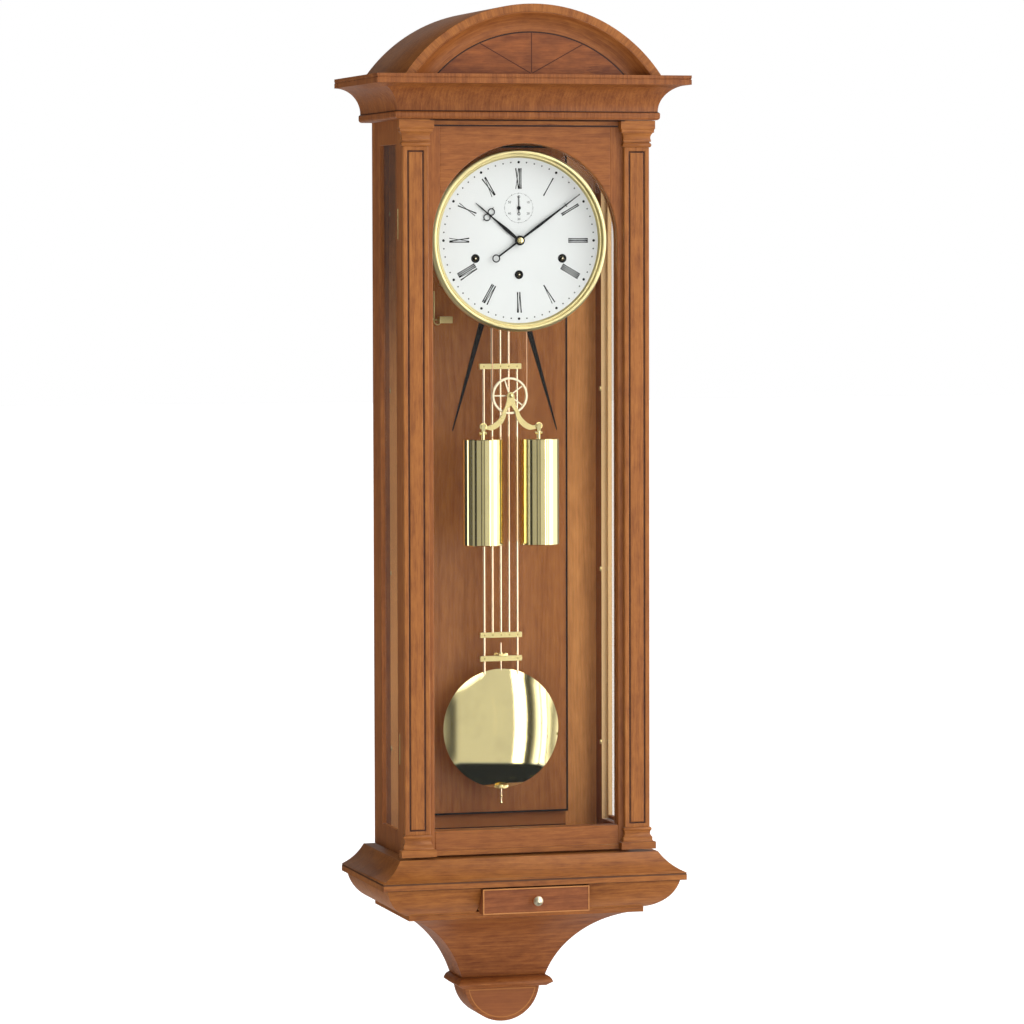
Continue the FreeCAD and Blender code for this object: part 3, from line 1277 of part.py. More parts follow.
def make_train():
    places = train_places()
    thick = s.wheel_thick.value
    long = s.pinion_long.value
    front = -s.front_plate_y.value
    back = -(s.back_plate_y.value + s.plate_thick.value)
    centre, third, escape = places["centre"], places["third"], places["escape"]
    middle, great, motion = places["middle"], places["great"], places["motion"]

    def wheel(name, module, y, phase):
        return toothed(tooth_count(name), module, True, -y - thick / 2, thick, phase, True)

    def pinion(name, module, y, phase):
        return toothed(tooth_count(name), module, False, -y - long / 2, long, phase)

    # centre arbor: wheel, pinion and the pipe that carries the cannon pinion and the minute hand
    hand_front = -(s.dial_front.value + s.minute_stand.value)
    pipe = arbor(s.pipe_radius.value, hand_front - s.hand_thick.value * 2, front)
    shape = pivoted(front, back).fuse(pipe)
    shape = shape.fuse(wheel("centre_wheel", s.centre_module.value, s.centre_wheel_y.value,
                             direction(centre, third)))
    shape = shape.fuse(pinion("centre_pinion", s.middle_module.value, s.middle_wheel_y.value,
                              gap_phase(direction(centre, middle), tooth_count("centre_pinion"))))
    cannon_teeth = tooth_count("cannon_pinion")
    motion_module = 2 * s.motion_distance.value / (cannon_teeth + tooth_count("minute_wheel"))
    cannon = toothed(cannon_teeth, motion_module, False, -s.motion_wheel_y.value - thick / 2,
                     thick, gap_phase(direction(centre, motion), cannon_teeth))
    settled("centre_arbor", shape.fuse(cannon), centre)

    # third arbor
    shape = pivoted(front, back)
    shape = shape.fuse(pinion("third_pinion", s.centre_module.value, s.centre_wheel_y.value,
                              gap_phase(direction(third, centre), tooth_count("third_pinion"))))
    shape = shape.fuse(wheel("third_wheel", s.third_module.value, s.third_wheel_y.value,
                             direction(third, escape)))
    settled("third_arbor", shape, third)

    # escape arbor: its front end passes the dial and carries the seconds hand
    seconds_front = -(s.dial_front.value + s.seconds_stand.value + s.hand_thick.value / 2)
    shape = pivoted(front, back).fuse(arbor(s.arbor_radius.value, seconds_front, front))
    shape = shape.fuse(pinion("escape_pinion", s.third_module.value, s.third_wheel_y.value,
                              gap_phase(direction(escape, third), tooth_count("escape_pinion"))))
    settled("escape_arbor", shape.fuse(escape_wheel()), escape)

    # middle arbor, between the great wheel and the centre pinion
    shape = pivoted(front, back)
    shape = shape.fuse(pinion("middle_pinion", s.great_module.value, s.great_wheel_y.value,
                              gap_phase(direction(middle, great), tooth_count("middle_pinion"))))
    shape = shape.fuse(wheel("middle_wheel", s.middle_module.value, s.middle_wheel_y.value,
                             direction(middle, centre)))
    settled("middle_arbor", shape, middle)

    # great wheel, loose on the drum's arbor
    shape = wheel("great_wheel", s.great_module.value, s.great_wheel_y.value,
                  direction(great, middle))
    bore = s.arbor_radius.value + s.pivot_play.value
    shape = shape.cut(arbor(bore, -s.great_wheel_y.value - thick, thick - s.great_wheel_y.value))
    settled("great_wheel", shape, great)
    make_motion_work(centre, motion, motion_module, thick)


def make_motion_work(centre, motion, motion_module, thick):
    hour_teeth = tooth_count("hour_wheel")
    pinion_teeth = tooth_count("minute_pinion")
    hour_module = 2 * s.motion_distance.value / (pinion_teeth + hour_teeth)
    minute_y = -s.motion_wheel_y.value - thick / 2
    hour_y = -s.hour_wheel_y.value - thick / 2
    play = s.pivot_play.value
    # hour wheel on its pipe, which turns on the centre pipe and carries the hour hand
    hour_front = -(s.dial_front.value + s.hour_stand.value)
    pipe = arbor(s.hour_pipe_radius.value, hour_front, hour_y + thick)
    shape = toothed(hour_teeth, hour_module, True, hour_y, thick, direction(centre, motion))
    shape = shape.fuse(pipe)
    shape = shape.cut(arbor(s.pipe_radius.value + play, hour_front, hour_y + thick))
    settled("hour_wheel", shape, centre)
    # minute wheel and its pinion, on a stud in the front plate
    shape = toothed(tooth_count("minute_wheel"), motion_module, True, minute_y, thick,
                    direction(motion, centre))
    small = toothed(pinion_teeth, hour_module, False, hour_y, minute_y - hour_y + thick,
                    gap_phase(direction(motion, centre), pinion_teeth))
    shape = shape.fuse(small)
    stud = arbor(s.pivot_radius.value, hour_y, -(s.front_plate_y.value + s.dial_play.value))
    settled("minute_wheel", shape.fuse(stud), motion)


def escape_wheel():
    """Pointed teeth that lean forward."""
    teeth = tooth_count("escape_wheel")
    tip = s.escape_radius.value
    foot = tip - s.escape_depth.value
    points = []
    for index in range(teeth):
        start = 2 * math.pi * index / teeth
        step = 2 * math.pi / teeth
        for radius, share in ((foot, 0.0), (tip, 0.62), (tip, 0.7), (foot, 0.72)):
            points.append((radius * math.cos(start + share * step),
                           radius * math.sin(start + share * step)))
    thick = s.wheel_thick.value / 2
    front = -s.escape_wheel_y.value - thick / 2
    return cross_out(flat(points, front, thick), foot, s.third_module.value / 2, front, thick)


def make_barrels():
    """The strike and chime barrels: each turns with its winding arbor when it is wound."""
    half = s.square_half.value
    front = -s.front_plate_y.value
    back = -(s.back_plate_y.value + s.plate_thick.value)
    module = 2 * s.barrel_wheel_radius.value / tooth_count("barrel_wheel")
    thick = s.wheel_thick.value
    for label, side in (("strike_barrel", -1), ("chime_barrel", 1)):
        shape = pivoted(front, back).fuse(winding_square(half, front))
        can = arbor(s.barrel_radius.value, -s.barrel_front.value, -s.barrel_back.value)
        shape = shape.fuse(can)
        shape = shape.fuse(toothed(tooth_count("barrel_wheel"), module, True,
                                   -s.barrel_wheel_y.value - thick / 2, thick, 0.0))
        joining = arbor(s.barrel_radius.value * 0.5, -s.barrel_wheel_y.value, -s.barrel_front.value)
        shape = shape.fuse(joining)
        settled(label, shape, (s.side_wind_x.value * side, (dial_z - s.side_wind_drop).value))


def winding_square(half, back):
    front = -(s.dial_front.value + s.square_stand.value)
    size = half * 2
    return Part.makeBox(size, back - front, size, Vector(-half, front, -half))


def make_drum():
    """The grooved cable drum on the time train's winding arbor."""
    front = -s.front_plate_y.value
    back = -(s.back_plate_y.value + s.plate_thick.value)
    half = s.drum_half_long.value
    middle = -s.weight_y.value
    flange = s.drum_flange_thick.value
    shape = pivoted(front, back).fuse(winding_square(s.square_half.value, front))
    shape = shape.fuse(arbor(s.drum_radius.value, middle - half, middle + half))
    for edge in (middle - half - flange, middle + half):
        shape = shape.fuse(arbor(s.drum_flange.value, edge, edge + flange))
    settled("cable_drum", shape, train_places()["great"])


def make_anchor():
    """Pallets on an arbor with a crutch that hangs behind the plates and embraces a pendulum rod."""
    front = -s.front_plate_y.value
    rear = -s.back_cock_y.value
    thick = s.pallet_thick.value
    reach = s.seconds_rise.value
    drop = (s.dial_drop - s.pivot_drop).value - reach
    shape = arbor(s.arbor_radius.value, front + s.dial_play.value, rear - s.dial_play.value)
    shape = shape.fuse(arbor(s.pivot_radius.value, front - s.plate_thick.value,
                             rear + s.back_cock_thick.value))
    # the two pallets stand just outside the escape wheel's tips, so that it is free to turn
    limit = s.escape_radius.value + s.pallet_gap.value
    centre = Vector(0, 0, -drop)
    wide = s.pallet_wide.value
    pallet_y = -s.escape_wheel_y.value - thick / 2
    half_span = math.radians(s.pallet_span.value)
    foot_x = limit * math.sin(half_span)
    foot_z = -drop + limit * math.cos(half_span)
    for side in (-1, 1):
        arm = flat([(0, wide), (0, -wide), (side * foot_x, foot_z), (side * (foot_x + wide * 1.4), foot_z),
                    (side * (foot_x + wide), foot_z + wide)], pallet_y, thick)
        shape = shape.fuse(arm)
    clearance = Part.makeCylinder(limit, thick, Vector(0, pallet_y, centre.z), Vector(0, 1, 0))
    shape = shape.cut(clearance)
    # crutch
    crutch_y = -s.crutch_y.value
    radius = s.crutch_radius.value
    fork = s.fork_half.value
    tine = s.fork_thick.value
    low = -s.crutch_long.value
    shape = shape.fuse(Part.makeCylinder(radius, -low, Vector(0, crutch_y, low)))
    shape = shape.fuse(Part.makeBox(2 * fork, 2 * radius, 2 * radius,
                                    Vector(-fork, crutch_y - radius, low - radius)))
    reach_back = s.crutch_y.value - s.pendulum_y.value + s.rod_radius.value
    for x in (-fork, fork - tine):
        shape = shape.fuse(Part.makeBox(tine, reach_back, 2 * radius, Vector(x, crutch_y, low - radius)))
    settled("pallet_anchor", shape, (0.0, pivot_z.value))


# Pendulum

def make_pendulum():
    y = -s.pendulum_y
    radius = s.rod_radius
    top = -s.bar_top_drop
    low = -s.bar_low_drop
    foot = -s.bar_foot_drop
    hook = -s.hook_bar_drop
    bob_z = -s.bob_drop
    half = s.bar_high / 2
    bob_entry = bob_z + s.bob_radius * 0.72
    rods = [rod_z("gridiron_rod", s.rod_pitch * step, y, radius, low + half, hook - half)
            for step in (-1, 0, 1)]
    for step in (-2, 2):
        rods.append(rod_z("gridiron_rod", s.rod_pitch * step, y, radius, bob_entry, top - half))
    rods.append(rod_z("rating_rod", ZERO, y, s.rating_rod_radius, -s.rating_rod_drop, low - half * 3))
    keep(group("pendulum_rods", *rods))
    bars = []
    for level, holes in ((hook, ()), (top, (-1, 0, 1)), (low, (-2, 2)), (foot, (-2, 0, 2))):
        bar = box("crossbar_blank", (-s.bar_half, s.bar_half), (y - s.bar_deep / 2, y + s.bar_deep / 2),
                  (level - half, level + half))
        tools = [rod_z("crossbar_hole", s.rod_pitch * step, y, s.rating_rod_radius if step == 0 and
                       level is foot else radius, level - s.bar_high, level + s.bar_high)
                 for step in holes]
        bars.append(cut("crossbar", bar, *tools) if tools else bar)
    keep(group("pendulum_crossbars", *bars))
    make_bob(y, bob_z, bob_entry)
    make_rating_nuts(y, foot, half)
    make_suspension(y, hook + half)


def make_bob(y, bob_z, bob_entry):
    radius = s.bob_radius
    thick = s.bob_half_thick
    rim = s.bob_rim / 2
    rise = thick - rim
    dome = (radius * radius + rise * rise) / (rise * 2)
    lens = [(-rim, radius, (dome, 1)), (-thick, ZERO), (thick, ZERO, (dome, 1)), (rim, radius)]
    disc = turned("bob_blank", "Y", lens, y=y, z=bob_z)
    tools = []
    for step in (-2, 2):
        tools.append(rod_z("bob_rod_hole", s.rod_pitch * step, y, s.rod_radius,
                           bob_entry, bob_z + radius * 2))
    tools.append(rod_z("bob_rating_hole", ZERO, y, s.rating_rod_radius, bob_z - radius * 2,
                       bob_z + radius * 2))
    tools.append(rod_z("bob_nut_seat", ZERO, y, s.nut_radius + s.dial_play, bob_z - radius * 2,
                       bob_z - radius + s.nut_notch))
    keep(cut("pendulum_bob", disc, *tools))


def make_rating_nuts(y, foot, half):
    """The nut above the foot bar, and the nut and finial below the bob."""
    nuts = []
    high = s.nut_high
    wide = s.nut_radius
    bore = s.rating_rod_radius
    low_seat = -(s.bob_drop + s.bob_radius) + s.nut_notch - s.dial_play
    for base in (foot + half, low_seat - s.nut_high * 1.2):
        outline = [(bore, ZERO), (wide, ZERO, 0.6), (wide, high * 0.35, None),
                   (wide * 0.45, high * 0.6, -0.8), (wide * 0.3, high * 1.2), (bore, high * 1.2)]
        nuts.append(turned("rating_nut", "Z", outline, y=y, z=base))
    tip_z = -s.rating_rod_drop
    finial = [(ZERO, -high * 0.5), (bore * 0.8, -high * 0.5, 0.9), (bore * 1.8, ZERO),
              (bore, high * 0.5), (ZERO, high * 0.5)]
    tip = turned("rating_finial", "Z", finial, y=y, z=tip_z - high * 0.5)
    keep(group("rating_nuts", *nuts, tip))


def make_suspension(y, hook_top):
    """The head pin that turns in the cock, the strip spring below it and the lower chop."""
    pin = rod_y("head_pin", ZERO, pivot_z, s.head_pin_radius, y - s.spring_wide / 2,
                -(s.cock_front - s.head_pin_radius * 2))
    strip = box("strip", (-s.spring_thick / 2, s.spring_thick / 2),
                (y - s.spring_wide / 2, y + s.spring_wide / 2),
                (pivot_z - s.hook_drop, pivot_z))
    chop = box("lower_chop", (-s.chop_half, s.chop_half), (y - s.chop_deep / 2, y + s.chop_deep / 2),
               (hook_top, pivot_z - s.hook_drop + s.chop_high))
    keep(fuse("suspension_spring", pin, strip, chop))


# Weights, pulley, yoke and cable

def make_pulley():
    radius = s.pulley_radius
    half = s.pulley_thick / 2
    pitch = s.cable_pitch_radius
    groove = pitch - s.cable_radius
    inner = radius - s.pulley_rim
    rim = turned("pulley_rim", "Y", [
        (-half, inner), (half, inner), (half, radius), (half * 0.7, radius), (half * 0.42, groove),
        (-half * 0.42, groove), (-half * 0.7, radius), (-half, radius)],
        y=-s.weight_y, z=-s.pulley_drop)
    hub = rod_y("pulley_hub", ZERO, -s.pulley_drop, s.pulley_hub, -s.weight_y - half,
                -s.weight_y + half)
    arms = []
    for index in range(SPOKES):
        arm = Part.makeBox(s.spoke_wide.value, s.spoke_wide.value,
                           (inner + s.pulley_rim / 4).value,
                           Vector(-s.spoke_wide.value / 2, -s.spoke_wide.value / 2, 0))
        arm.rotate(Vector(), Vector(0, 1, 0), -18 + 360 * index / SPOKES)
        arm.translate(Vector(0, -s.weight_y.value, -s.pulley_drop.value))
        arms.append(solid("pulley_spoke", arm))
    bore = rod_y("pulley_bore", ZERO, -s.pulley_drop, s.axle_radius + s.pivot_play,
                 -s.weight_y - s.pulley_thick, -s.weight_y + s.pulley_thick)
    keep(cut("pulley", fuse("pulley_blank", rim, hub, *arms), bore))


def make_yoke():
    """A curved two-armed yoke in front of the pulley, with its axle through the pulley's hub."""
    thick = s.yoke_thick
    back = -(s.weight_y + s.pulley_thick / 2 + s.yoke_gap)
    front = back - thick
    z = -s.pulley_drop
    eye_z = -s.eye_drop
    drop = s.eye_drop - s.pulley_drop
    # the right arm's edge: its outer side down to the eye, then its inner side back to the fork
    arm = [(s.yoke_boss, z, 1.9), (s.eye_x * 0.28, z - drop * 0.49, 1.05),
           (s.eye_x * 0.8, z - drop * 0.985, None), (s.eye_x * 0.93, z - drop * 0.97, None),
           (s.eye_x * 0.97, z - drop * 1.08, None), (s.eye_x * 0.7, z - drop * 1.13, -0.82),
           (s.eye_x * 0.165, z - drop * 0.54, None), (ZERO, z - drop * 0.3), (ZERO, z)]
    right = slab("yoke_arm_right", "front", arm, front, back)
    left = mirrored("yoke_arm_left", right)
    boss = rod_y("yoke_boss", ZERO, z, s.yoke_boss, front, back)
    eyes = []
    holes = []
    for x in (-s.eye_x, s.eye_x):
        eyes.append(rod_y("yoke_eye", x, eye_z, s.eye_radius, front, back))
        holes.append(rod_y("yoke_eye_hole", x, eye_z, s.eye_hole + s.pivot_play,
                           front - s.cut_over, back + s.cut_over))
    axle = rod_y("yoke_axle", ZERO, z, s.axle_radius, front - s.yoke_gap,
                 -(s.weight_y - s.pulley_thick / 2 - s.yoke_gap))
    cap = rod_y("axle_cap", ZERO, z, s.pulley_hub * 0.7,
                -(s.weight_y - s.pulley_thick / 2 - s.yoke_gap),
                -(s.weight_y - s.pulley_thick / 2 - s.yoke_gap * 3))
    blank = fuse("yoke_blank", right, left, boss, axle, cap, *eyes)
    keep(cut("pulley_yoke", blank, *holes))


def make_weights():
    """Polished cylinders; each hangs by a small fork and pin from an eye of the yoke."""
    y = -(s.weight_y + s.pulley_thick / 2 + s.yoke_gap + s.yoke_thick / 2)
    top = -s.weight_top_drop
    low = top - s.weight_high
    eye_z = -s.eye_drop
    radius = s.weight_radius
    bevel = s.weight_bevel
    play = s.yoke_gap / 2
    for label, x in (("weight_left", -s.eye_x), ("weight_right", s.eye_x)):
        shell = [(ZERO, low), (radius - bevel, low), (radius, low + bevel), (radius, top - bevel),
                 (radius - bevel, top), (ZERO, top)]
        body = turned(label + "_shell", "Z", shell, x=x, y=y)
        reach = s.yoke_thick / 2 + play + s.neck_radius * 0.7
        clear = eye_z - s.eye_radius - play
        neck = rod_z(label + "_neck", x, y, s.neck_radius, top, clear - s.toggle_radius)
        toggle = rod_x(label + "_toggle", y, clear - s.toggle_radius * 2, s.toggle_radius,
                       x - s.toggle_half, x + s.toggle_half)
        fork = box(label + "_fork", (x - s.neck_radius, x + s.neck_radius), (y - reach, y + reach),
                   (clear - s.toggle_radius, clear))
        cheeks = []
        for side in (-1, 1):
            near = s.yoke_thick / 2 + play
            edges = sorted((y + near * side, y + reach * side), key=number)
            cheeks.append(box(label + "_cheek", (x - s.neck_radius, x + s.neck_radius),
                              (edges[0], edges[1]), (clear, eye_z + s.neck_radius)))
        pin = rod_y(label + "_pin", x, eye_z, s.eye_hole, y - reach, y + reach)
        keep(fuse(label, body, neck, toggle, fork, pin, *cheeks))


def make_cable():
    """The thin cable: down from the drum, round under the pulley and up to its post."""
    radius = s.cable_radius
    y = -s.weight_y
    pulley_z = -s.pulley_drop
    drum_z = dial_z - s.time_wind_drop
    pitch = s.cable_pitch_radius
    right = rod_z("cable_strand_right", pitch, y, radius, pulley_z, drum_z)
    left = rod_z("cable_strand_left", -pitch, y, radius, pulley_z,
                 dial_z - s.cable_post_drop - s.cable_post_radius)
    keep(group("cable_strands", right, left))
    bend = Part.makeTorus(pitch.value, radius.value, Vector(0, 0, 0), Vector(0, 1, 0))
    under = Part.makeBox(pitch.value * 4, pitch.value, pitch.value * 2,
                         Vector(-pitch.value * 2, -pitch.value / 2, -pitch.value * 2))
    loop = bend.common(under)
    loop.translate(Vector(0, y.value, pulley_z.value))
    keep(solid("cable_loop", loop))


def check_document():
    for item in doc.Objects:
        if "Invalid" in item.State or "Error" in item.State:
            raise ValueError("%s failed: %s" % (item.Label, item.State))
    for item in finished:
        if item.Shape.isNull() or not item.Shape.isValid() or not item.Shape.Solids:
            raise ValueError("%s has no sound shape" % item.Label)


make_back_board()
make_hanger()
make_sides()
make_boards()
make_cornice()
make_pediment()
make_base()
make_drawer()
make_corbel()
make_door_frame()
make_door_glass()
make_pilasters()
make_hinges()
make_dial()
make_hour_hand()
make_minute_hand()
make_seconds_hand()
make_plates()
make_bracket()
make_pointers()
make_gong()
make_train()
make_barrels()
make_drum()
make_anchor()
make_pendulum()
make_pulley()
make_yoke()
make_weights()
make_cable()
doc.recompute()
check_document()

os.makedirs("parts", exist_ok=True)
for piece in finished:
    piece.Shape.exportStep("parts/%s.step" % piece.Label)
    print("%-22s %2d solids  %.0f mm3" % (piece.Label, len(piece.Shape.Solids), piece.Shape.Volume))
print("%d parts" % len(finished))
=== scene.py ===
# Looks of a wall regulator clock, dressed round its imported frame. Metres; -Y is the front and +Z is up.

import math

import bpy
from mathutils import Matrix, Vector


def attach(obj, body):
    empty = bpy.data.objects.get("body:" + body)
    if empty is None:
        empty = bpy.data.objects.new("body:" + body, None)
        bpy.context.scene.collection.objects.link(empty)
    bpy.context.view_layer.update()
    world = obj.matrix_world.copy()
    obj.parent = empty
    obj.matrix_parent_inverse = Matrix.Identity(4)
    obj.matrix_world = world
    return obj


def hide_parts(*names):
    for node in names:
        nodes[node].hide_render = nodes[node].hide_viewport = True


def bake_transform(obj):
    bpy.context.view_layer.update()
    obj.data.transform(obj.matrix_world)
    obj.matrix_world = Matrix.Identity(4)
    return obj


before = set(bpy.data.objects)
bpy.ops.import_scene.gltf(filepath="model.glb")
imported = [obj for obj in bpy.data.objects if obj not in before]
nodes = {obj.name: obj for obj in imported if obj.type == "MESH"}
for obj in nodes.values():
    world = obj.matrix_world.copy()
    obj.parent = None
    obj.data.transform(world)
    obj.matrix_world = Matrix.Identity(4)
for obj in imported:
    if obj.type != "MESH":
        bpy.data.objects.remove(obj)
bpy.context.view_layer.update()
scene = bpy.context.scene
print("frame loaded:", len(nodes), "nodes")


# Shader nodes

class Wire:  # an output socket, on which sums can be written
    def __init__(self, paint, socket):
        self.paint = paint
        self.socket = socket

    def sum(self, operation, first, second):
        return self.paint.node("ShaderNodeMath", {"operation": operation}, {0: first, 1: second})

    def __add__(self, other):
        return self.sum("ADD", self, other)

    def __radd__(self, other):
        return self.sum("ADD", other, self)

    def __sub__(self, other):
        return self.sum("SUBTRACT", self, other)

    def __rsub__(self, other):
        return self.sum("SUBTRACT", other, self)

    def __mul__(self, other):
        return self.sum("MULTIPLY", self, other)

    def __rmul__(self, other):
        return self.sum("MULTIPLY", other, self)

    def __pow__(self, other):
        return self.sum("POWER", self, other)


class Paint:  # the node tree of one material or of the world
    def __init__(self, owner):
        self.owner = owner
        owner.use_nodes = True
        self.tree = owner.node_tree
        self.tree.nodes.clear()

    def node(self, kind, settings=None, values=None, output=0):
        made = self.tree.nodes.new(kind)
        for name, setting in (settings or {}).items():
            if name == "stops":
                self.fillRamp(made.color_ramp, setting)
            else:
                setattr(made, name, setting)
        for socket, value in (values or {}).items():
            if isinstance(value, Wire):
                self.tree.links.new(value.socket, made.inputs[socket])
            else:
                made.inputs[socket].default_value = value
        return Wire(self, made.outputs[output]) if made.outputs else None

    def fillRamp(self, ramp, stops):
        while len(ramp.elements) < len(stops):
            ramp.elements.new(1.0)
        for element, (place, colour) in zip(ramp.elements, stops):
            element.position = place
            element.color = colour

    def stretched(self, vector, scales):  # a pattern on this is drawn out where a scale is small
        return self.node("ShaderNodeVectorMath", {"operation": "MULTIPLY"}, {0: vector, 1: scales})

    def mixed(self, factor, first, second):  # colours
        settings = {"data_type": "RGBA"}
        return self.node("ShaderNodeMix", settings, {0: factor, 6: first, 7: second}, 2)

    def noise(self, vector, scale, detail=2.0, roughness=0.5, output="Fac"):
        values = {"Vector": vector, "Scale": scale, "Detail": detail, "Roughness": roughness}
        return self.node("ShaderNodeTexNoise", None, values, output)

    def ranged(self, value, low, high, newLow=0.0, newHigh=1.0):  # a clamped straight line
        values = {"Value": value, "From Min": low, "From Max": high, "To Min": newLow, "To Max": newHigh}
        return self.node("ShaderNodeMapRange", {"clamp": True}, values)

    def axis(self, vector, name):
        return self.node("ShaderNodeSeparateXYZ", None, {0: vector}, name)

    def between(self, value, low, high, soft=0.0002):  # 1 between low and high
        rise = self.ranged(value, low - soft, low + soft)
        return rise * self.ranged(value, high - soft, high + soft, 1.0, 0.0)

    def away(self, vector, centre):  # distance from a level line through the clock at this height
        x = self.axis(vector, "X")
        z = self.axis(vector, "Z") - centre
        return (x * x + z * z) ** 0.5

    def polar(self, vector, centre, radius):  # the way round that line stands for X, the distance for Z
        z = self.axis(vector, "Z") - centre
        angle = self.node("ShaderNodeMath", {"operation": "ARCTAN2"}, {0: self.axis(vector, "X"), 1: z})
        places = {0: angle * radius, 1: self.axis(vector, "Y"), 2: self.away(vector, centre)}
        return self.node("ShaderNodeCombineXYZ", None, places)

    def bump(self, height, strength, distance):
        values = {"Height": height, "Strength": strength, "Distance": distance}
        return self.node("ShaderNodeBump", None, values)

    def finish(self, values):
        surface = self.node("ShaderNodeBsdfPrincipled", None, values)
        self.node("ShaderNodeOutputMaterial", None, {"Surface": surface})
        return self.owner


def newPaint(name):
    return Paint(bpy.data.materials.new(name))


# Studio: the photograph's view, a pale floor, soft boxes at the right and a dim left side

view = {
    "place": (-1.72595, -6.14878, -0.20442),
    "yaw": 0.2786,
    "pitch": -0.0539,
    "roll": -0.0025,
    "lens": 163.58,
    "sensor": 36.0,
    "reach": 100,
}


def addCamera(size):
    yaw, pitch, roll = size["yaw"], size["pitch"], size["roll"]
    ahead = Vector((math.sin(yaw) * math.cos(pitch), math.cos(yaw) * math.cos(pitch), math.sin(pitch)))
    right = Vector((math.cos(yaw), -math.sin(yaw), 0))
    up = right.cross(ahead)
    rolledRight = right * math.cos(roll) + up * math.sin(roll)
    rolledUp = up * math.cos(roll) - right * math.sin(roll)
    turn = Matrix((rolledRight, rolledUp, -ahead)).transposed()
    bpy.ops.object.camera_add(location=size["place"], rotation=turn.to_euler())
    camera = bpy.context.object
    camera.name = "camera"
    camera.data.lens = size["lens"]
    camera.data.sensor_width = size["sensor"]
    camera.data.clip_end = size["reach"]
    scene.camera = camera


# Each lamp's bearing is in degrees, from straight ahead of the clock towards its right
lamps = {
    "wideBox": {"bearing": 24, "far": 4.2, "z": -0.35, "wide": 0.39, "tall": 4.2, "power": 25},
    "sideBox": {"bearing": 58, "far": 4.0, "z": 0.2, "wide": 1.2, "tall": 3.4, "power": 26},
    "topBox": {"bearing": 38, "far": 3.4, "z": 2.6, "wide": 1.6, "tall": 1.2, "power": 30},
    "leftBox": {"bearing": -106, "far": 3.0, "z": 0.2, "wide": 0.5, "tall": 2.4, "power": 7},
}
lampAim = Vector((0, 0, -0.5))


def addLamp(name, size):
    bearing = math.radians(size["bearing"])
    place = Vector((size["far"] * math.sin(bearing), -size["far"] * math.cos(bearing), size["z"]))
    turn = (place - lampAim).to_track_quat("Z", "Y").to_euler()
    bpy.ops.object.light_add(type="AREA", location=place, rotation=turn)
    lamp = bpy.context.object
    lamp.name = name
    lamp.data.shape = "RECTANGLE"
    lamp.data.size = size["wide"]
    lamp.data.size_y = size["tall"]
    lamp.data.energy = size["power"]
    lamp.visible_camera = False


air = {  # brightness of what the clock mirrors: below a height, within a span of bearings, and aside of it
    "below": 0.03, "belowEdge": -0.35, "belowSpan": (-24, 52), "belowTint": (0.55, 0.7, 1, 1), "aside": 0.4,
    "seen": 1.0,
}
airSoft = {"band": 0.003, "edge": 0.008, "span": 0.05, "patch": 0.006, "patchEnd": 0.01}
airPatch = {"span": (-8.7, 9.5), "rise": 0.57, "low": 0.218, "high": 0.298, "level": 3.0}
airBrightest = 3.0
airLevels = (  # bearing in degrees up to which a level holds
    (-114, 0.05), (-106, 1.2), (-76, 0.12), (-63, 0.4), (-50, 0.05), (-26, 0.5), (-21, 0.06), (-8.7, 0.5),
    (-5, 0.1), (26.6, 0.78), (31.6, 0.08), (38, 3.0), (41, 0.3), (75, 2.5), (112, 1.7), (180, 0.3),
)


def airBands():  # the levels as the stops of a ramp, from one side of the room round to the other
    stops = []
    left = 0.0
    for degrees, level in airLevels:
        right = (degrees + 180) / 360
        soft = min(airSoft["band"], (right - left) / 4)
        share = level / airBrightest
        tone = (share, share, share, 1)
        stops.extend([(left + soft, tone), (right - soft, tone)])
        left = right
    return stops


def withinSpan(paint, bearing, span, soft):
    left, right = span
    return paint.between(bearing, math.radians(left), math.radians(right), soft)


def paintAir(size):  # what the clock mirrors stands in upright bands; what the camera sees is plain
    scene.world = bpy.data.worlds.new("studioAir")
    paint = Paint(scene.world)
    where = paint.node("ShaderNodeTexCoord", None, None, "Generated")
    ahead = paint.axis(where, "Y") * -1.0
    bearing = paint.node("ShaderNodeMath", {"operation": "ARCTAN2"}, {0: paint.axis(where, "X"), 1: ahead})
    turn = bearing * (0.5 / math.pi) + 0.5
    banded = paint.node("ShaderNodeValToRGB", {"stops": airBands()}, {0: turn}, "Color")
    level = airBrightest * paint.node("ShaderNodeRGBToBW", None, {0: banded})
    height = paint.axis(where, "Z")
    slant = height - bearing * airPatch["rise"]
    patch = paint.between(slant, airPatch["low"], airPatch["high"], airSoft["patch"])
    patch = patch * withinSpan(paint, bearing, airPatch["span"], airSoft["patchEnd"])
    level = level + patch * (airPatch["level"] - level)
    low = paint.ranged(height, size["belowEdge"] - airSoft["edge"], size["belowEdge"] + airSoft["edge"])
    dark = withinSpan(paint, bearing, size["belowSpan"], airSoft["span"])
    under = size["aside"] + dark * (size["below"] - size["aside"])
    level = under + low * (level - under)
    ray = paint.node("ShaderNodeLightPath", None, None, "Is Camera Ray")
    level = level + ray * (size["seen"] - level)
    tone = paint.mixed(dark * (1.0 - low), (1, 1, 1, 1), size["belowTint"])
    glow = paint.node("ShaderNodeBackground", None, {"Color": tone, "Strength": level})
    paint.node("ShaderNodeOutputWorld", None, {"Surface": glow})


floor = {"size": 60, "z": -1.34, "tone": (0.5, 0.5, 0.5, 1), "gloss": 0.9, "glow": 0.85}


def addFloor(size):
    bpy.ops.mesh.primitive_plane_add(size=size["size"], location=(0, 0, size["z"]))
    ground = bpy.context.object
    ground.name = "floor"
    ground.visible_glossy = False
    paint = newPaint("paleFloor")
    values = {"Base Color": size["tone"], "Roughness": size["gloss"], "Emission Color": (1, 1, 1, 1)}
    values["Emission Strength"] = size["glow"]
    ground.data.materials.append(paint.finish(values))


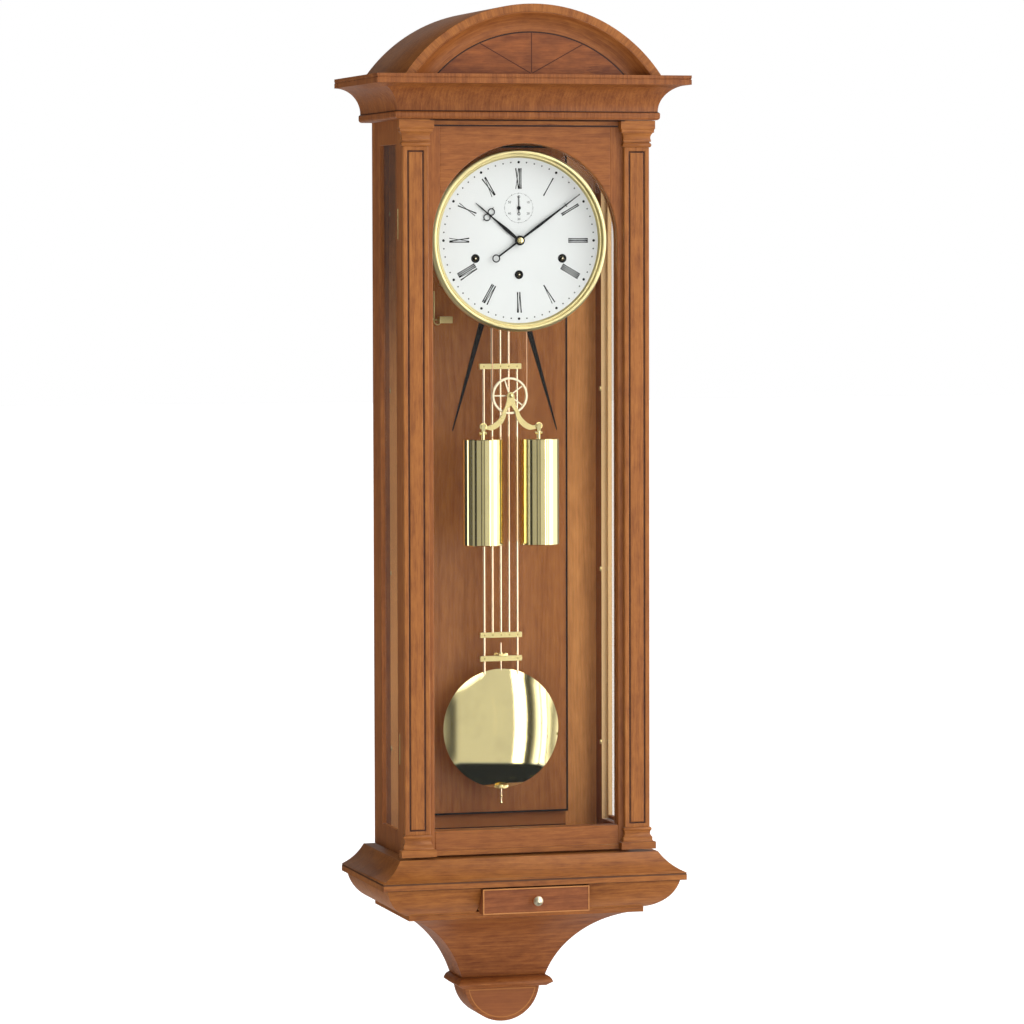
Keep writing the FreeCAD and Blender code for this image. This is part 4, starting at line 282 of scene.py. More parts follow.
addCamera(view)
for lampName, lampSize in lamps.items():
    addLamp(lampName, lampSize)
paintAir(air)
addFloor(floor)
scene.view_settings.view_transform = "Standard"
print("studio ready")


# Finishes. Every pattern reads Object coordinates, which are the clock's own, in metres

grainTurns = {"X": (0, math.pi / 2, 0), "Y": (math.pi / 2, 0, 0), "Z": (0, 0, 0)}
woodTints = {  # pale, middle and deep
    "cherry": ((0.37, 0.136, 0.034, 1), (0.28, 0.092, 0.022, 1), (0.16, 0.044, 0.012, 1)),
    "redCherry": ((0.34, 0.114, 0.034, 1), (0.25, 0.076, 0.022, 1), (0.15, 0.040, 0.012, 1)),
    "goldCherry": ((0.42, 0.160, 0.037, 1), (0.32, 0.111, 0.024, 1), (0.17, 0.049, 0.012, 1)),
    "darkCherry": ((0.36, 0.115, 0.028, 1), (0.27, 0.080, 0.020, 1), (0.14, 0.037, 0.011, 1)),
    "corbel": ((0.36, 0.130, 0.034, 1), (0.27, 0.088, 0.022, 1), (0.15, 0.040, 0.011, 1)),
    "panel": ((0.49, 0.195, 0.050, 1), (0.39, 0.143, 0.037, 1), (0.25, 0.080, 0.021, 1)),
    "carcass": ((0.80, 0.37, 0.115, 1), (0.66, 0.28, 0.085, 1), (0.46, 0.18, 0.052, 1)),
    "bead": ((0.56, 0.25, 0.08, 1), (0.47, 0.19, 0.055, 1), (0.33, 0.12, 0.035, 1)),
}
shadowLine = (0.028, 0.010, 0.005, 1)
# painted light: pale tone for the rebate and reveal of the right side window, as if lit through the glass
litRevealTone = (0.80, 0.54, 0.27, 1)
# painted light: pale tone for the back board's strip left of the panel
litStripTone = (0.85, 0.42, 0.15, 1)
woodFigure = {  # how close each pattern stands, twice across the grain and once along it
    "wander": (9, 9, 2.5), "bands": (60, 60, 3), "mottle": (110, 110, 38), "rings": (1, 1, 0.05),
    "fibres": (800, 800, 30), "pores": (1500, 1500, 90),
}
woodSway = (0.02, 0.02, 0)
woodRings = {"Scale": 60.0, "Distortion": 5.0, "Detail": 3.0, "Detail Scale": 0.8}
woodShares = {"bands": 0.3, "mottle": 0.3, "figured": 0.2, "growth": 0.12, "fibres": 0.34, "pores": 0.4}
woodRelief = {"pores": 0.8, "strength": 0.16, "deep": 0.0004}
woodDull = {"fibres": 0.12, "pores": 0.1}
woodSheen = {"Coat Weight": 0.03, "Coat Roughness": 0.2, "Specular IOR Level": 0.22}


def woodPaint(name, grain, shift, tint="cherry", figure=0.5, gloss=0.34, marking=None, ring=None):
    paint = newPaint(name)
    pale, mid, deep = woodTints[tint]
    where = paint.node("ShaderNodeTexCoord", None, None, "Object")
    flat = paint.polar(where, ring["z"], ring["radius"]) if ring else where
    placing = {"Vector": flat, "Location": shift, "Rotation": grainTurns[grain]}
    turned = paint.node("ShaderNodeMapping", None, placing)
    wander = paint.noise(paint.stretched(turned, woodFigure["wander"]), 1.0, 2.0, 0.5, "Color")
    sway = {0: wander, 1: woodSway, 2: turned}
    bent = paint.node("ShaderNodeVectorMath", {"operation": "MULTIPLY_ADD"}, sway)
    bands = paint.noise(paint.stretched(bent, woodFigure["bands"]), 1.0, 3.0, 0.6)
    mottle = paint.noise(paint.stretched(bent, woodFigure["mottle"]), 1.0, 3.0, 0.65)
    settings = {"wave_type": "RINGS", "rings_direction": "Z", "wave_profile": "SAW"}
    rings = {"Vector": paint.stretched(bent, woodFigure["rings"]), **woodRings}
    growth = paint.node("ShaderNodeTexWave", settings, rings, "Fac")
    fibres = paint.noise(paint.stretched(bent, woodFigure["fibres"]), 1.0, 2.0, 0.6)
    pores = paint.ranged(paint.noise(paint.stretched(bent, woodFigure["pores"]), 1.0, 1.0), 0.62, 0.72)
    share = woodShares
    shade = bands * share["bands"] + mottle * (share["mottle"] + share["figured"] * figure)
    shade = shade + growth * (share["growth"] * figure) + fibres * share["fibres"]
    stops = [(0.32, pale), (0.52, mid), (0.76, deep)]
    colour = paint.node("ShaderNodeValToRGB", {"stops": stops}, {0: shade}, "Color")
    colour = paint.mixed(pores * share["pores"], colour, deep)
    if marking:
        colour = marking(paint, where, colour)
    roughness = gloss + fibres * woodDull["fibres"] + pores * woodDull["pores"]
    relief = paint.bump(fibres - pores * woodRelief["pores"], woodRelief["strength"], woodRelief["deep"])
    values = {"Base Color": colour, "Roughness": roughness, "Normal": relief, **woodSheen}
    return paint.finish(values)


marks = {  # painted shadow lines in gaps and at moulding steps, painted light on two strips, and strips and fields of the wood, as spans along the axes
    # painted light: the right side window's rebate and reveal, painted pale as if lit through the glass
    "litReveal": {"X": (0.1502, 0.1634), "Y": (-0.0425, -0.0363), "Z": (-0.9735, -0.043)},
    # painted shadow: a dark band across the door's head, stiles and beads, just below the capitals' fillet
    "headShadowLine": {"Z": (-0.0262, -0.0225)},
    # painted shadow in the gap between the cornice and the capitals
    "capitalGapShadow": {"X": (-0.1345, 0.1345), "Z": (-0.0188, -0.0170)},
    # painted shadow line at a step of the cornice's moulding
    "corniceStepShadow": {"Z": (-0.0072, -0.0055)},
    # painted shadow lines at the steps above and below the base's fascia
    "fasciaTopShadow": {"Z": (-1.0292, -1.0268)},
    "fasciaFootShadow": {"Z": (-1.0376, -1.0358)},
    "dropField": {"Y": (-0.0605, -0.0595), "Z": (-2.0, -1.1993)},
    "dropInner": {"Z": (-2.0, -1.2005)},
    "footStrip": {"X": (-0.2, 0.1055), "Y": (-0.0125, -0.0115), "Z": (-0.9815, -0.955)},
    # painted shadow in the joint under the panel's foot strip
    "footJointShadow": {"X": (-0.2, 0.1055), "Y": (-0.0125, -0.0115), "Z": (-0.9832, -0.9815)},
    # painted light: the back board's strip left of the panel
    "leftLitStrip": {"X": (-0.2, -0.108), "Y": (-0.0125, -0.0115)},
}
# centre and radius of the arch, and the radii of the painted shadow in the gap round the tympanum
arch = {"z": -0.0782, "radius": 0.2, "joint": (0.1752, 0.20)}
drop = {"z": -1.191, "line": 0.0470, "field": 0.0482, "strength": 0.6}
# painted light on that strip: full below the first height, none above the second
leftLitStrip = {"full": -0.45, "none": -0.28, "strength": 0.7}
footStrength = 0.8


def zone(paint, where, name):  # 1 inside the mark
    share = 1.0
    for axisName, (low, high) in marks[name].items():
        share = paint.between(paint.axis(where, axisName), low, high) * share
    return share


def marked(tone, strength, *names):
    def marking(paint, where, colour):
        share = 0.0
        for name in names:
            share = zone(paint, where, name) + share
        return paint.mixed(share * strength, colour, tone)
    return marking


def tympanumGapShadow(paint, where, colour):  # painted shadow in the gap round the tympanum
    low, high = arch["joint"]
    return paint.mixed(paint.between(paint.away(where, arch["z"]), low, high), colour, shadowLine)


def dropMark(paint, where, colour):  # a pale line let in round the red field of the drop
    radius = paint.away(where, drop["z"])
    field = zone(paint, where, "dropField") * paint.between(radius, -1.0, drop["field"])
    inner = zone(paint, where, "dropInner") * paint.between(radius, -1.0, drop["line"])
    colour = paint.mixed(field * inner * drop["strength"], colour, woodTints["redCherry"][1])
    return paint.mixed(field * (1.0 - inner), colour, woodTints["goldCherry"][0])


def footStripLightAndShade(paint, where, colour):  # the strip below the panel, painted shadow in the joint under it, and painted light on a paler strip at its left
    colour = paint.mixed(zone(paint, where, "footStrip") * footStrength, colour, woodTints["redCherry"][0])
    # painted light on the strip left of the panel, paler low down and fading out upwards
    up = paint.ranged(paint.axis(where, "Z"), leftLitStrip["full"], leftLitStrip["none"], 1.0, 0.0)
    left = zone(paint, where, "leftLitStrip") * up
    colour = paint.mixed(left * leftLitStrip["strength"], colour, litStripTone)
    return paint.mixed(zone(paint, where, "footJointShadow"), colour, shadowLine)


metalFigure = {"cloud": 26.0, "lines": (2600, 2600, 40), "tarnish": 0.72, "dullest": 0.45}
# painted shade: near black for the ends of the winding squares, down in the dial's holes
holeShade = {"tone": (0.02, 0.02, 0.02, 1), "soft": 0.0003}


def metalPaint(name, colour, gloss, grain="Z", wear=0.05, brush=0.04, shadedFront=None):
    paint = newPaint(name)
    where = paint.node("ShaderNodeTexCoord", None, None, "Object")
    turned = paint.node("ShaderNodeMapping", None, {"Vector": where, "Rotation": grainTurns[grain]})
    cloud = paint.noise(turned, metalFigure["cloud"], 3.0, 0.6)
    lines = paint.noise(paint.stretched(turned, metalFigure["lines"]), 1.0, 2.0, 0.7)
    tarnish = tuple(share * metalFigure["tarnish"] for share in colour[:3]) + (1,)
    tone = paint.mixed(paint.ranged(cloud, 0.45, 0.85, 0.0, metalFigure["dullest"]), colour, tarnish)
    if shadedFront is not None:  # painted shade: the winding squares, down in the dial's holes, are painted near black in front of this
        soft = holeShade["soft"]
        shadedEnds = paint.ranged(paint.axis(where, "Y"), shadedFront - soft, shadedFront + soft, 1.0, 0.0)
        tone = paint.mixed(shadedEnds, tone, holeShade["tone"])
    roughness = gloss + cloud * wear + lines * brush
    relief = paint.bump(lines, 0.05, 0.0001)
    return paint.finish({"Base Color": tone, "Metallic": 1.0, "Roughness": roughness, "Normal": relief})


darkFigure = {"cloud": 180.0, "paler": 2.2}


def darkPaint(name, colour, gloss, coat):
    paint = newPaint(name)
    where = paint.node("ShaderNodeTexCoord", None, None, "Object")
    cloud = paint.noise(where, darkFigure["cloud"], 3.0, 0.6)
    paler = tuple(share * darkFigure["paler"] for share in colour[:3]) + (1,)
    tone = paint.mixed(paint.ranged(cloud, 0.4, 0.8), colour, paler)
    relief = paint.bump(cloud, 0.08, 0.0002)
    values = {"Base Color": tone, "Roughness": gloss + cloud * 0.15, "Normal": relief}
    values.update({"Coat Weight": coat, "Coat Roughness": 0.1, "Specular IOR Level": 0.15})
    return paint.finish(values)


stringTones = {"panel": (0.010, 0.008, 0.007, 1), "tympanum": (0.075, 0.024, 0.012, 1), "change": 0.01}


def stringingPaint():  # black round the panel, dark brown in the tympanum
    paint = newPaint("stringing")
    where = paint.node("ShaderNodeTexCoord", None, None, "Object")
    cloud = paint.noise(where, darkFigure["cloud"], 3.0, 0.6)
    high = paint.ranged(paint.axis(where, "Z"), -stringTones["change"], stringTones["change"])
    tone = paint.mixed(high, stringTones["panel"], stringTones["tympanum"])
    return paint.finish({"Base Color": tone, "Roughness": 0.4 + cloud * 0.2, "Specular IOR Level": 0.15})


enamelTones = ((0.69, 0.705, 0.70, 1), (0.74, 0.75, 0.745, 1))


def enamelPaint():
    paint = newPaint("dialEnamel")
    where = paint.node("ShaderNodeTexCoord", None, None, "Object")
    cloud = paint.noise(where, 30.0, 3.0, 0.5)
    grit = paint.noise(where, 1800.0, 2.0, 0.6)
    tone = paint.mixed(cloud, enamelTones[0], enamelTones[1])
    relief = paint.bump(grit, 0.06, 0.0001)
    return paint.finish({"Base Color": tone, "Roughness": 0.42 + grit * 0.1, "Normal": relief})


glassShine = {"flat": 0.006, "edge": 0.9, "power": 5.0, "gloss": 0.02}


def glassPaint(name, tint):
    paint = newPaint(name)
    grazing = paint.node("ShaderNodeLayerWeight", None, {"Blend": 0.5}, "Facing")
    mirror = glassShine["flat"] + glassShine["edge"] * grazing ** glassShine["power"]
    clear = paint.node("ShaderNodeBsdfTransparent", None, {"Color": tint})
    gleam = {"Color": (1, 1, 1, 1), "Roughness": glassShine["gloss"]}
    shine = paint.node("ShaderNodeBsdfGlossy", None, gleam)
    surface = paint.node("ShaderNodeMixShader", None, {0: mirror, 1: clear, 2: shine})
    paint.node("ShaderNodeOutputMaterial", None, {"Surface": surface})
    return paint.owner


# painted light on the right side window's reveal
litWindowReveal = marked(litRevealTone, 1.0, "litReveal")
# painted shadow below the capitals' fillet
headShadowLine = marked(shadowLine, 1.0, "headShadowLine")
# painted shadow in the gap under the cornice
capitalGapShadow = marked(shadowLine, 1.0, "capitalGapShadow")
# painted shadow at a step of the cornice
corniceStepShadow = marked(shadowLine, 0.85, "corniceStepShadow")
# painted shadow lines at the base's fascia
fasciaShadowLines = marked(shadowLine, 0.75, "fasciaTopShadow", "fasciaFootShadow")
upright = woodPaint("uprightWood", "Z", (0.9, 0.4, 0.2), marking=headShadowLine)
pilasterWood = woodPaint("pilasterWood", "Z", (0.37, 0.83, 0.55), "goldCherry", 0.6)
sideWood = woodPaint("sideWood", "Z", (1.7, 0.2, 0.9), "cherry", 0.6, marking=litWindowReveal)
across = woodPaint("acrossWood", "X", (0.2, 0.6, 1.3), "cherry", 0.6)
capitalWood = woodPaint("capitalWood", "X", (0.45, 0.95, 1.65), "goldCherry", 0.6, marking=capitalGapShadow)
headWood = woodPaint("headWood", "X", (0.2, 0.6, 1.3), "cherry", 0.6, marking=headShadowLine)
corniceWood = woodPaint("corniceWood", "Z", (1.2, 0.35, 0.5), "cherry", 0.8, marking=corniceStepShadow)
hoodWood = woodPaint("hoodWood", "Z", (1.9, 0.75, 0.3), "goldCherry", 0.7, ring=arch)
coveWood = woodPaint("coveWood", "X", (0.6, 0.15, 1.1), "cherry", 0.7, ring=arch)
baseWood = woodPaint("baseWood", "X", (0.7, 1.15, 0.1), "goldCherry", 0.7, marking=fasciaShadowLines)
corbelWood = woodPaint("corbelWood", "X", (2.1, 0.25, 0.75), "corbel", 0.9)
dropWood = woodPaint("dropWood", "X", (2.5, 0.55, 0.95), "cherry", 0.8, marking=dropMark)
drawerWood = woodPaint("drawerWood", "X", (1.5, 1.55, 0.35), "redCherry", 0.9)
panelVeneer = woodPaint("panelVeneer", "Z", (0.5, 0.9, 1.9), "panel", 0.7, 0.3)
tympanumVeneer = woodPaint("tympanumVeneer", "X", (0.15, 1.9, 0.4), "darkCherry", 1.0, 0.3, tympanumGapShadow)
backWood = woodPaint("backWood", "Z", (2.4, 0.7, 0.3), "carcass", 0.5, 0.5, footStripLightAndShade)
carcassAcross = woodPaint("carcassAcross", "X", (2.9, 0.1, 0.6), "carcass", 0.5, 0.5)
polished = metalPaint("polishedBrass", (0.88, 0.74, 0.37, 1), 0.02, "Z", 0.02, 0.02)
pulleyBrass = metalPaint("pulleyBrass", (0.92, 0.80, 0.56, 1), 0.3, "Y", 0.05, 0.05)
knobBrass = metalPaint("knobBrass", (0.95, 0.86, 0.60, 1), 0.3, "Y", 0.05, 0.05)
satin = metalPaint("satinBrass", (0.70, 0.57, 0.26, 1), 0.2, "X", 0.08, 0.1)
spun = metalPaint("spunBrass", (0.80, 0.68, 0.34, 1), 0.3, "Y", 0.08, 0.05)
copperBrass = metalPaint("copperBrass", (0.90, 0.68, 0.46, 1), 0.08, "Z", 0.04, 0.03)
barrelBrass = metalPaint("barrelBrass", (0.70, 0.57, 0.26, 1), 0.2, "X", 0.08, 0.1, -0.1460)
steel = metalPaint("brightSteel", (0.62, 0.62, 0.63, 1), 0.2, "Z", 0.1, 0.1)
cableWire = metalPaint("cableWire", (0.88, 0.54, 0.32, 1), 0.3, "Z", 0.1, 0.05)
black = darkPaint("blackenedSteel", (0.004, 0.004, 0.0045, 1), 0.3, 0.0)
ebony = darkPaint("ebonyLine", (0.006, 0.005, 0.004, 1), 0.4, 0.02)
brownLine = darkPaint("brownLine", (0.045, 0.016, 0.009, 1), 0.5, 0.0)
stringing = stringingPaint()
enamel = enamelPaint()
glass = glassPaint("clearGlass", (0.985, 0.99, 0.985, 1))
sideGlass = glassPaint("sideGlass", (0.98, 0.965, 0.94, 1))

coverings = (
    (backWood, ("back_board",)),
    (sideWood, ("side_frames",)),
    (corniceWood, ("cornice",)),
    (hoodWood, ("pediment_hood",)),
    (coveWood, ("pediment_moulding",)),
    (tympanumVeneer, ("tympanum",)),
    (baseWood, ("base_moulding",)),
    (corbelWood, ("corbel",)),
    (dropWood, ("corbel_pendant",)),
    (across, ("case_boards",)),
    (panelVeneer, ("veneer_panel",)),
    (upright, ("door_stiles", "glass_beads")),
    (headWood, ("door_rails",)),
    (pilasterWood, ("pilaster_shafts",)),
    (capitalWood, ("pilaster_capitals", "pilaster_bases")),
    (drawerWood, ("drawer_front",)),
    (carcassAcross, ("drawer_box",)),
    (stringing, ("case_stringing",)),
    (brownLine, ("pilaster_stringing",)),
    (ebony, ("ebony_pointers",)),
    (enamel, ("dial",)),
    (glass, ("door_glass",)),
    (sideGlass, ("side_glasses",)),
    (knobBrass, ("drawer_knob",)),
    (spun, ("dial_bezel",)),
    (pulleyBrass, ("pulley",)),
    (copperBrass, ("pendulum_rods",)),
    (polished, ("pendulum_bob", "rating_nuts", "weight_left", "weight_right")),
    (satin, ("glass_clips", "case_hardware", "door_hardware", "gong", "pulley_yoke", "pendulum_crossbars")),
    (satin, ("movement_plates", "hour_wheel", "minute_wheel", "third_arbor", "middle_arbor")),
    (barrelBrass, ("escape_arbor", "great_wheel", "strike_barrel", "chime_barrel", "cable_drum")),
    (steel, ("hanger_plate", "movement_bracket", "suspension_spring", "pallet_anchor", "centre_arbor")),
    (black, ("winding_grommets", "hour_hand", "minute_hand", "seconds_hand")),
    (cableWire, ("cable_loop", "cable_strands")),
)


def cover(obj, material):
    obj.data.materials.clear()
    obj.data.materials.append(material)


for material, nodeNames in coverings:
    for nodeName in nodeNames:
        cover(nodes[nodeName], material)
unmirrored = (
    "side_frames", "side_glasses", "door_stiles", "door_rails", "glass_beads", "pilaster_shafts",
    "pilaster_capitals", "pilaster_bases",
)
for nodeName in unmirrored:  # the brasses inside the case mirror the studio, not the back of the door
    nodes[nodeName].visible_glossy = False
print("finishes ready:", len(bpy.data.materials))


# Worn edges: the sharp edges of the CAD nodes are rounded a little, so that they catch the light

softened = {
    "case": {"wide": 0.0006, "nodes": ("side_frames", "cornice", "pediment_hood", "pediment_moulding")},
    "foot": {"wide": 0.0006, "nodes": ("base_moulding", "corbel", "corbel_pendant")},
    "door": {"wide": 0.0016, "nodes": ("door_stiles", "door_rails", "pilaster_shafts")},
    "caps": {"wide": 0.0004, "nodes": ("pilaster_capitals", "pilaster_bases", "drawer_front")},
    "metal": {"wide": 0.0003, "nodes": ("pulley_yoke", "pendulum_crossbars")},
}
softEdge = {"segments": 2, "angle": 38}
mergeDistance = 0.00001


def soften(obj, wide):
    weld = obj.modifiers.new("weld", "WELD")
    weld.merge_threshold = mergeDistance
    edges = obj.modifiers.new("edges", "BEVEL")
    edges.width = wide
    edges.segments = softEdge["segments"]
    edges.limit_method = "ANGLE"
    edges.angle_limit = math.radians(softEdge["angle"])


for family in softened.values():
    for nodeName in family["nodes"]:
        soften(nodes[nodeName], family["wide"])
print("edges softened")


# Modelling helpers

facing = (math.pi / 2, 0, 0)  # turns what lies flat to stand and face the front


def deselectAll():
    if bpy.context.object and bpy.context.object.mode != "OBJECT":
        bpy.ops.object.mode_set(mode="OBJECT")
    bpy.ops.object.select_all(action="DESELECT")


def selectOnly(pieces):
    deselectAll()
    for piece in pieces:
        piece.select_set(True)
    bpy.context.view_layer.objects.active = pieces[0]


def pickFaces(test):  # those of the active piece that pass the test; it is left in edit mode
    piece = bpy.context.object
    bpy.ops.object.mode_set(mode="EDIT")
    bpy.ops.mesh.select_mode(type="FACE")
    bpy.ops.mesh.select_all(action="DESELECT")
    bpy.ops.object.mode_set(mode="OBJECT")
    for face in piece.data.polygons:
        face.select = test(face.center, face.normal)
    bpy.ops.object.mode_set(mode="EDIT")


def pickPoints(test):
    piece = bpy.context.object
    bpy.ops.object.mode_set(mode="EDIT")
    bpy.ops.mesh.select_mode(type="VERT")
    bpy.ops.mesh.select_all(action="DESELECT")
    bpy.ops.object.mode_set(mode="OBJECT")
    for point in piece.data.vertices:
        point.select = test(point.co)
    bpy.ops.object.mode_set(mode="EDIT")


def resizeAll(value):  # the whole active piece, which is left in edit mode
    bpy.ops.object.mode_set(mode="EDIT")
    bpy.ops.mesh.select_all(action="SELECT")
    bpy.ops.transform.resize(value=value)


def settle():  # the active piece leaves edit mode, and its place goes into its mesh
    piece = bpy.context.object
    selectOnly([piece])
    bpy.ops.object.transform_apply(location=True, rotation=True, scale=True)
    return piece


def squashedBall(segments, rings, radius, place, turn, squash):
    bpy.ops.mesh.primitive_uv_sphere_add(
        segments=segments, ring_count=rings, radius=radius, location=place, rotation=turn
    )
    resizeAll(squash)
    ball = settle()
    bpy.ops.object.shade_smooth()
    return ball


def copied(piece, place=(0, 0, 0), turn=(0, 0, 0), stretch=(1, 1, 1)):
    twin = piece.copy()
    twin.data = piece.data.copy()
    twin.location = place
    twin.rotation_euler = turn
    twin.scale = stretch
    scene.collection.objects.link(twin)
    return twin


def removed(piece):
    bpy.data.objects.remove(piece, do_unlink=True)


def joinedPiece(name, pieces, body, material):
    selectOnly(pieces)
    bpy.ops.object.join()
    piece = settle()
    piece.name = name
    piece.data.name = name
    cover(piece, material)
    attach(piece, body)


# Dial print: hour numerals, minute and seconds dots and the small seconds figures, as thin raised ink

dialAt = {"y": -0.1515, "z": -0.1771, "secondsUp": 0.0435}
numerals = {"foot": 0.069, "head": 0.0965, "thick": 0.00135, "thin": 0.0008, "line": 0.0022, "wide": 0.0040}
dialDots = {"radius": 0.1046, "hour": 0.0018, "minute": 0.0010, "seconds": 0.0004, "secondsRadius": 0.0197}
secondsFigures = {"radius": 0.0150, "high": 0.0044}
inkHigh = 0.00012
inkFlare = 1.35
inkRim = 0.2
bigDotShare = 1.6
romans = ("XII", "I", "II", "III", "IIII", "V", "VI", "VII", "VIII", "IX", "X", "XI")


def inkStroke():  # one unit long, wide and high, a little wider at both ends, as engraved
    bpy.ops.mesh.primitive_plane_add(size=1, rotation=facing)
    settle()
    bpy.ops.object.mode_set(mode="EDIT")
    bpy.ops.mesh.subdivide(number_cuts=3)
    pickPoints(lambda point: abs(point.z) > 0.4)
    bpy.ops.transform.resize(value=(inkFlare, 1, 1))
    pickFaces(lambda centre, normal: True)
    bpy.ops.mesh.extrude_region_move(TRANSFORM_OT_translate={"value": (0, -1, 0)})
    return settle()


def inkDot():
    bpy.ops.mesh.primitive_circle_add(vertices=12, radius=1, fill_type="NGON", rotation=facing)
    settle()
    pickFaces(lambda centre, normal: True)
    bpy.ops.mesh.extrude_region_move(TRANSFORM_OT_translate={"value": (0, -1, 0)})
    bpy.ops.mesh.inset(thickness=inkRim)
    return settle()


def letterStrokes(letter, middle):  # foot and head across the numeral, and width of each stroke
    half = numerals["wide"] / 2
    thick, thin = numerals["thick"], numerals["thin"]
    if letter == "I":
        return [(middle, middle, thick)]
    if letter == "V":
        return [(middle, middle - half, thick), (middle, middle + half, thin)]
    return [(middle + half, middle - half, thick), (middle - half, middle + half, thin)]


def onDial(angle, radius, across=0.0):
    x = radius * math.sin(angle) + across * math.cos(angle)
    z = radius * math.cos(angle) - across * math.sin(angle)
    return (x, dialAt["y"], dialAt["z"] + z)


def addNumerals():
    stroke = inkStroke()
    strokes = []
    middleRadius = (numerals["foot"] + numerals["head"]) / 2
    rise = numerals["head"] - numerals["foot"]
    for hour, roman in enumerate(romans):
        angle = math.tau * hour / 12
        steps = [numerals["line"] if letter == "I" else numerals["wide"] for letter in roman]
        left = -sum(steps) / 2
        for letter, step in zip(roman, steps):
            for foot, head, width in letterStrokes(letter, left + step / 2):
                lean = math.atan2(head - foot, rise)
                place = onDial(angle, middleRadius, (foot + head) / 2)
                stretch = (width, inkHigh, math.hypot(rise, head - foot))
                strokes.append(copied(stroke, place, (0, angle + lean, 0), stretch))
            left += step
    removed(stroke)
    return strokes


def addDots():
    dot = inkDot()
    dots = []
    for minute in range(60):
        angle = math.tau * minute / 60
        size = dialDots["hour"] if minute % 5 == 0 else dialDots["minute"]
        dots.append(copied(dot, onDial(angle, dialDots["radius"]), (0, 0, 0), (size, inkHigh, size)))
        small = dialDots["seconds"] * (bigDotShare if minute % 5 == 0 else 1.0)
        x = dialDots["secondsRadius"] * math.sin(angle)
        z = dialAt["z"] + dialAt["secondsUp"] + dialDots["secondsRadius"] * math.cos(angle)
        dots.append(copied(dot, (x, dialAt["y"], z), (0, 0, 0), (small, inkHigh, small)))
    removed(dot)
    return dots


def addSecondsFigures():
    figures = []
    for tens in range(1, 7):
        angle = math.tau * tens / 6
        x = secondsFigures["radius"] * math.sin(angle)
        z = dialAt["z"] + dialAt["secondsUp"] + secondsFigures["radius"] * math.cos(angle)
        deselectAll()
        bpy.ops.object.text_add()
        figure = bpy.context.object
        figure.data.body = str(tens * 10)
        figure.data.size = secondsFigures["high"]
        figure.data.align_x = "CENTER"
        figure.data.align_y = "CENTER"
        figure.data.extrude = inkHigh / 2
        figure.data.resolution_u = 3
        bpy.ops.object.convert(target="MESH")
        figure = bpy.context.object
        figure.rotation_euler = facing
        figure.location = (x, dialAt["y"] - inkHigh / 2, z)
        figures.append(settle())
    return figures


def addDialPrint():
    pieces = addNumerals() + addDots() + addSecondsFigures()
    joinedPiece("dial_print", pieces, "case", ink)


ink = darkPaint("printInk", (0.003, 0.003, 0.0033, 1), 0.6, 0.0)
addDialPrint()
print("dial print ready")


# Hands: slender blades with open rings, each drawn out station by station from its boss

hands = {  # half widths at distances from the arbor, then rings as across, along, radius and wire
    "hour_blade": {
        "node": "hour_hand", "body": "hour", "slot": "blackened_steel", "angle": 309.7, "front": -0.1535,
        "centre": -0.1771, "thick": 0.0008, "boss": 0.0052,
        "blade": ((0.003, 0.0016), (0.012, 0.0021), (0.022, 0.0025), (0.036, 0.0016), (0.047, 0.0009),
                  (0.060, 0.0008), (0.067, 0.0010), (0.078, 0.0003)),
        "tail": (),
        "rings": ((-0.0047, 0.054, 0.0043, 0.0007), (0.0047, 0.054, 0.0043, 0.0007)),
        "bars": ((-0.0101, 0.0555, 0.0026, 0.0013), (0.0101, 0.0555, 0.0026, 0.0013)),
    },
    "minute_blade": {
        "node": "minute_hand", "body": "minute", "slot": "blackened_steel", "angle": 53.7, "front": -0.1559,
        "centre": -0.1771, "thick": 0.0008, "boss": 0.0044,
        "blade": ((0.003, 0.0011), (0.014, 0.0014), (0.034, 0.0019), (0.055, 0.0014), (0.078, 0.0009),
                  (0.103, 0.0004)),
        "tail": ((-0.003, 0.0012), (-0.0360, 0.0011)),
        "rings": ((0, -0.0405, 0.0047, 0.0008),),
        "bars": ((0, 0.080, 0.0056, 0.0011),),
    },
    "seconds_blade": {
        "node": "seconds_hand", "body": "seconds", "slot": "blackened_steel", "angle": 0, "front": -0.1525,
        "centre": -0.1336, "thick": 0.0006, "boss": 0.0026,
        "blade": ((0.001, 0.0006), (0.010, 0.0005), (0.017, 0.00025)),
        "tail": ((-0.001, 0.0005), (-0.0062, 0.0005)),
        "rings": ((0, -0.0078, 0.0017, 0.0004),),
        "bars": (),
    },
}
handShares = {"bossRim": 0.1, "barTip": 0.3}


def handStrip(stations, front, thick):  # an upright strip through the stations, pulled out row by row
    places = sorted(stations)
    (foot, footWidth), (head, headWidth) = places[0], places[1]
    bpy.ops.mesh.primitive_plane_add(size=1, rotation=facing)
    settle()
    pickPoints(lambda point: point.z < 0)
    bpy.ops.transform.resize(value=(footWidth * 2, 1, 1))
    bpy.ops.transform.translate(value=(0, 0, foot + 0.5))
    pickPoints(lambda point: point.z > 0.4)
    bpy.ops.transform.resize(value=(headWidth * 2, 1, 1))
    bpy.ops.transform.translate(value=(0, 0, head - 0.5))
    for place, width in places[2:]:
        bpy.ops.mesh.extrude_region_move(TRANSFORM_OT_translate={"value": (0, 0, place - head)})
        bpy.ops.transform.resize(value=(width / headWidth, 1, 1))
        head, headWidth = place, width
    pickFaces(lambda centre, normal: True)
    bpy.ops.mesh.extrude_region_move(TRANSFORM_OT_translate={"value": (0, -thick, 0)})
    bpy.ops.mesh.select_all(action="SELECT")
    bpy.ops.transform.translate(value=(0, front + thick, 0))
    bpy.ops.mesh.normals_make_consistent(inside=False)
    return settle()


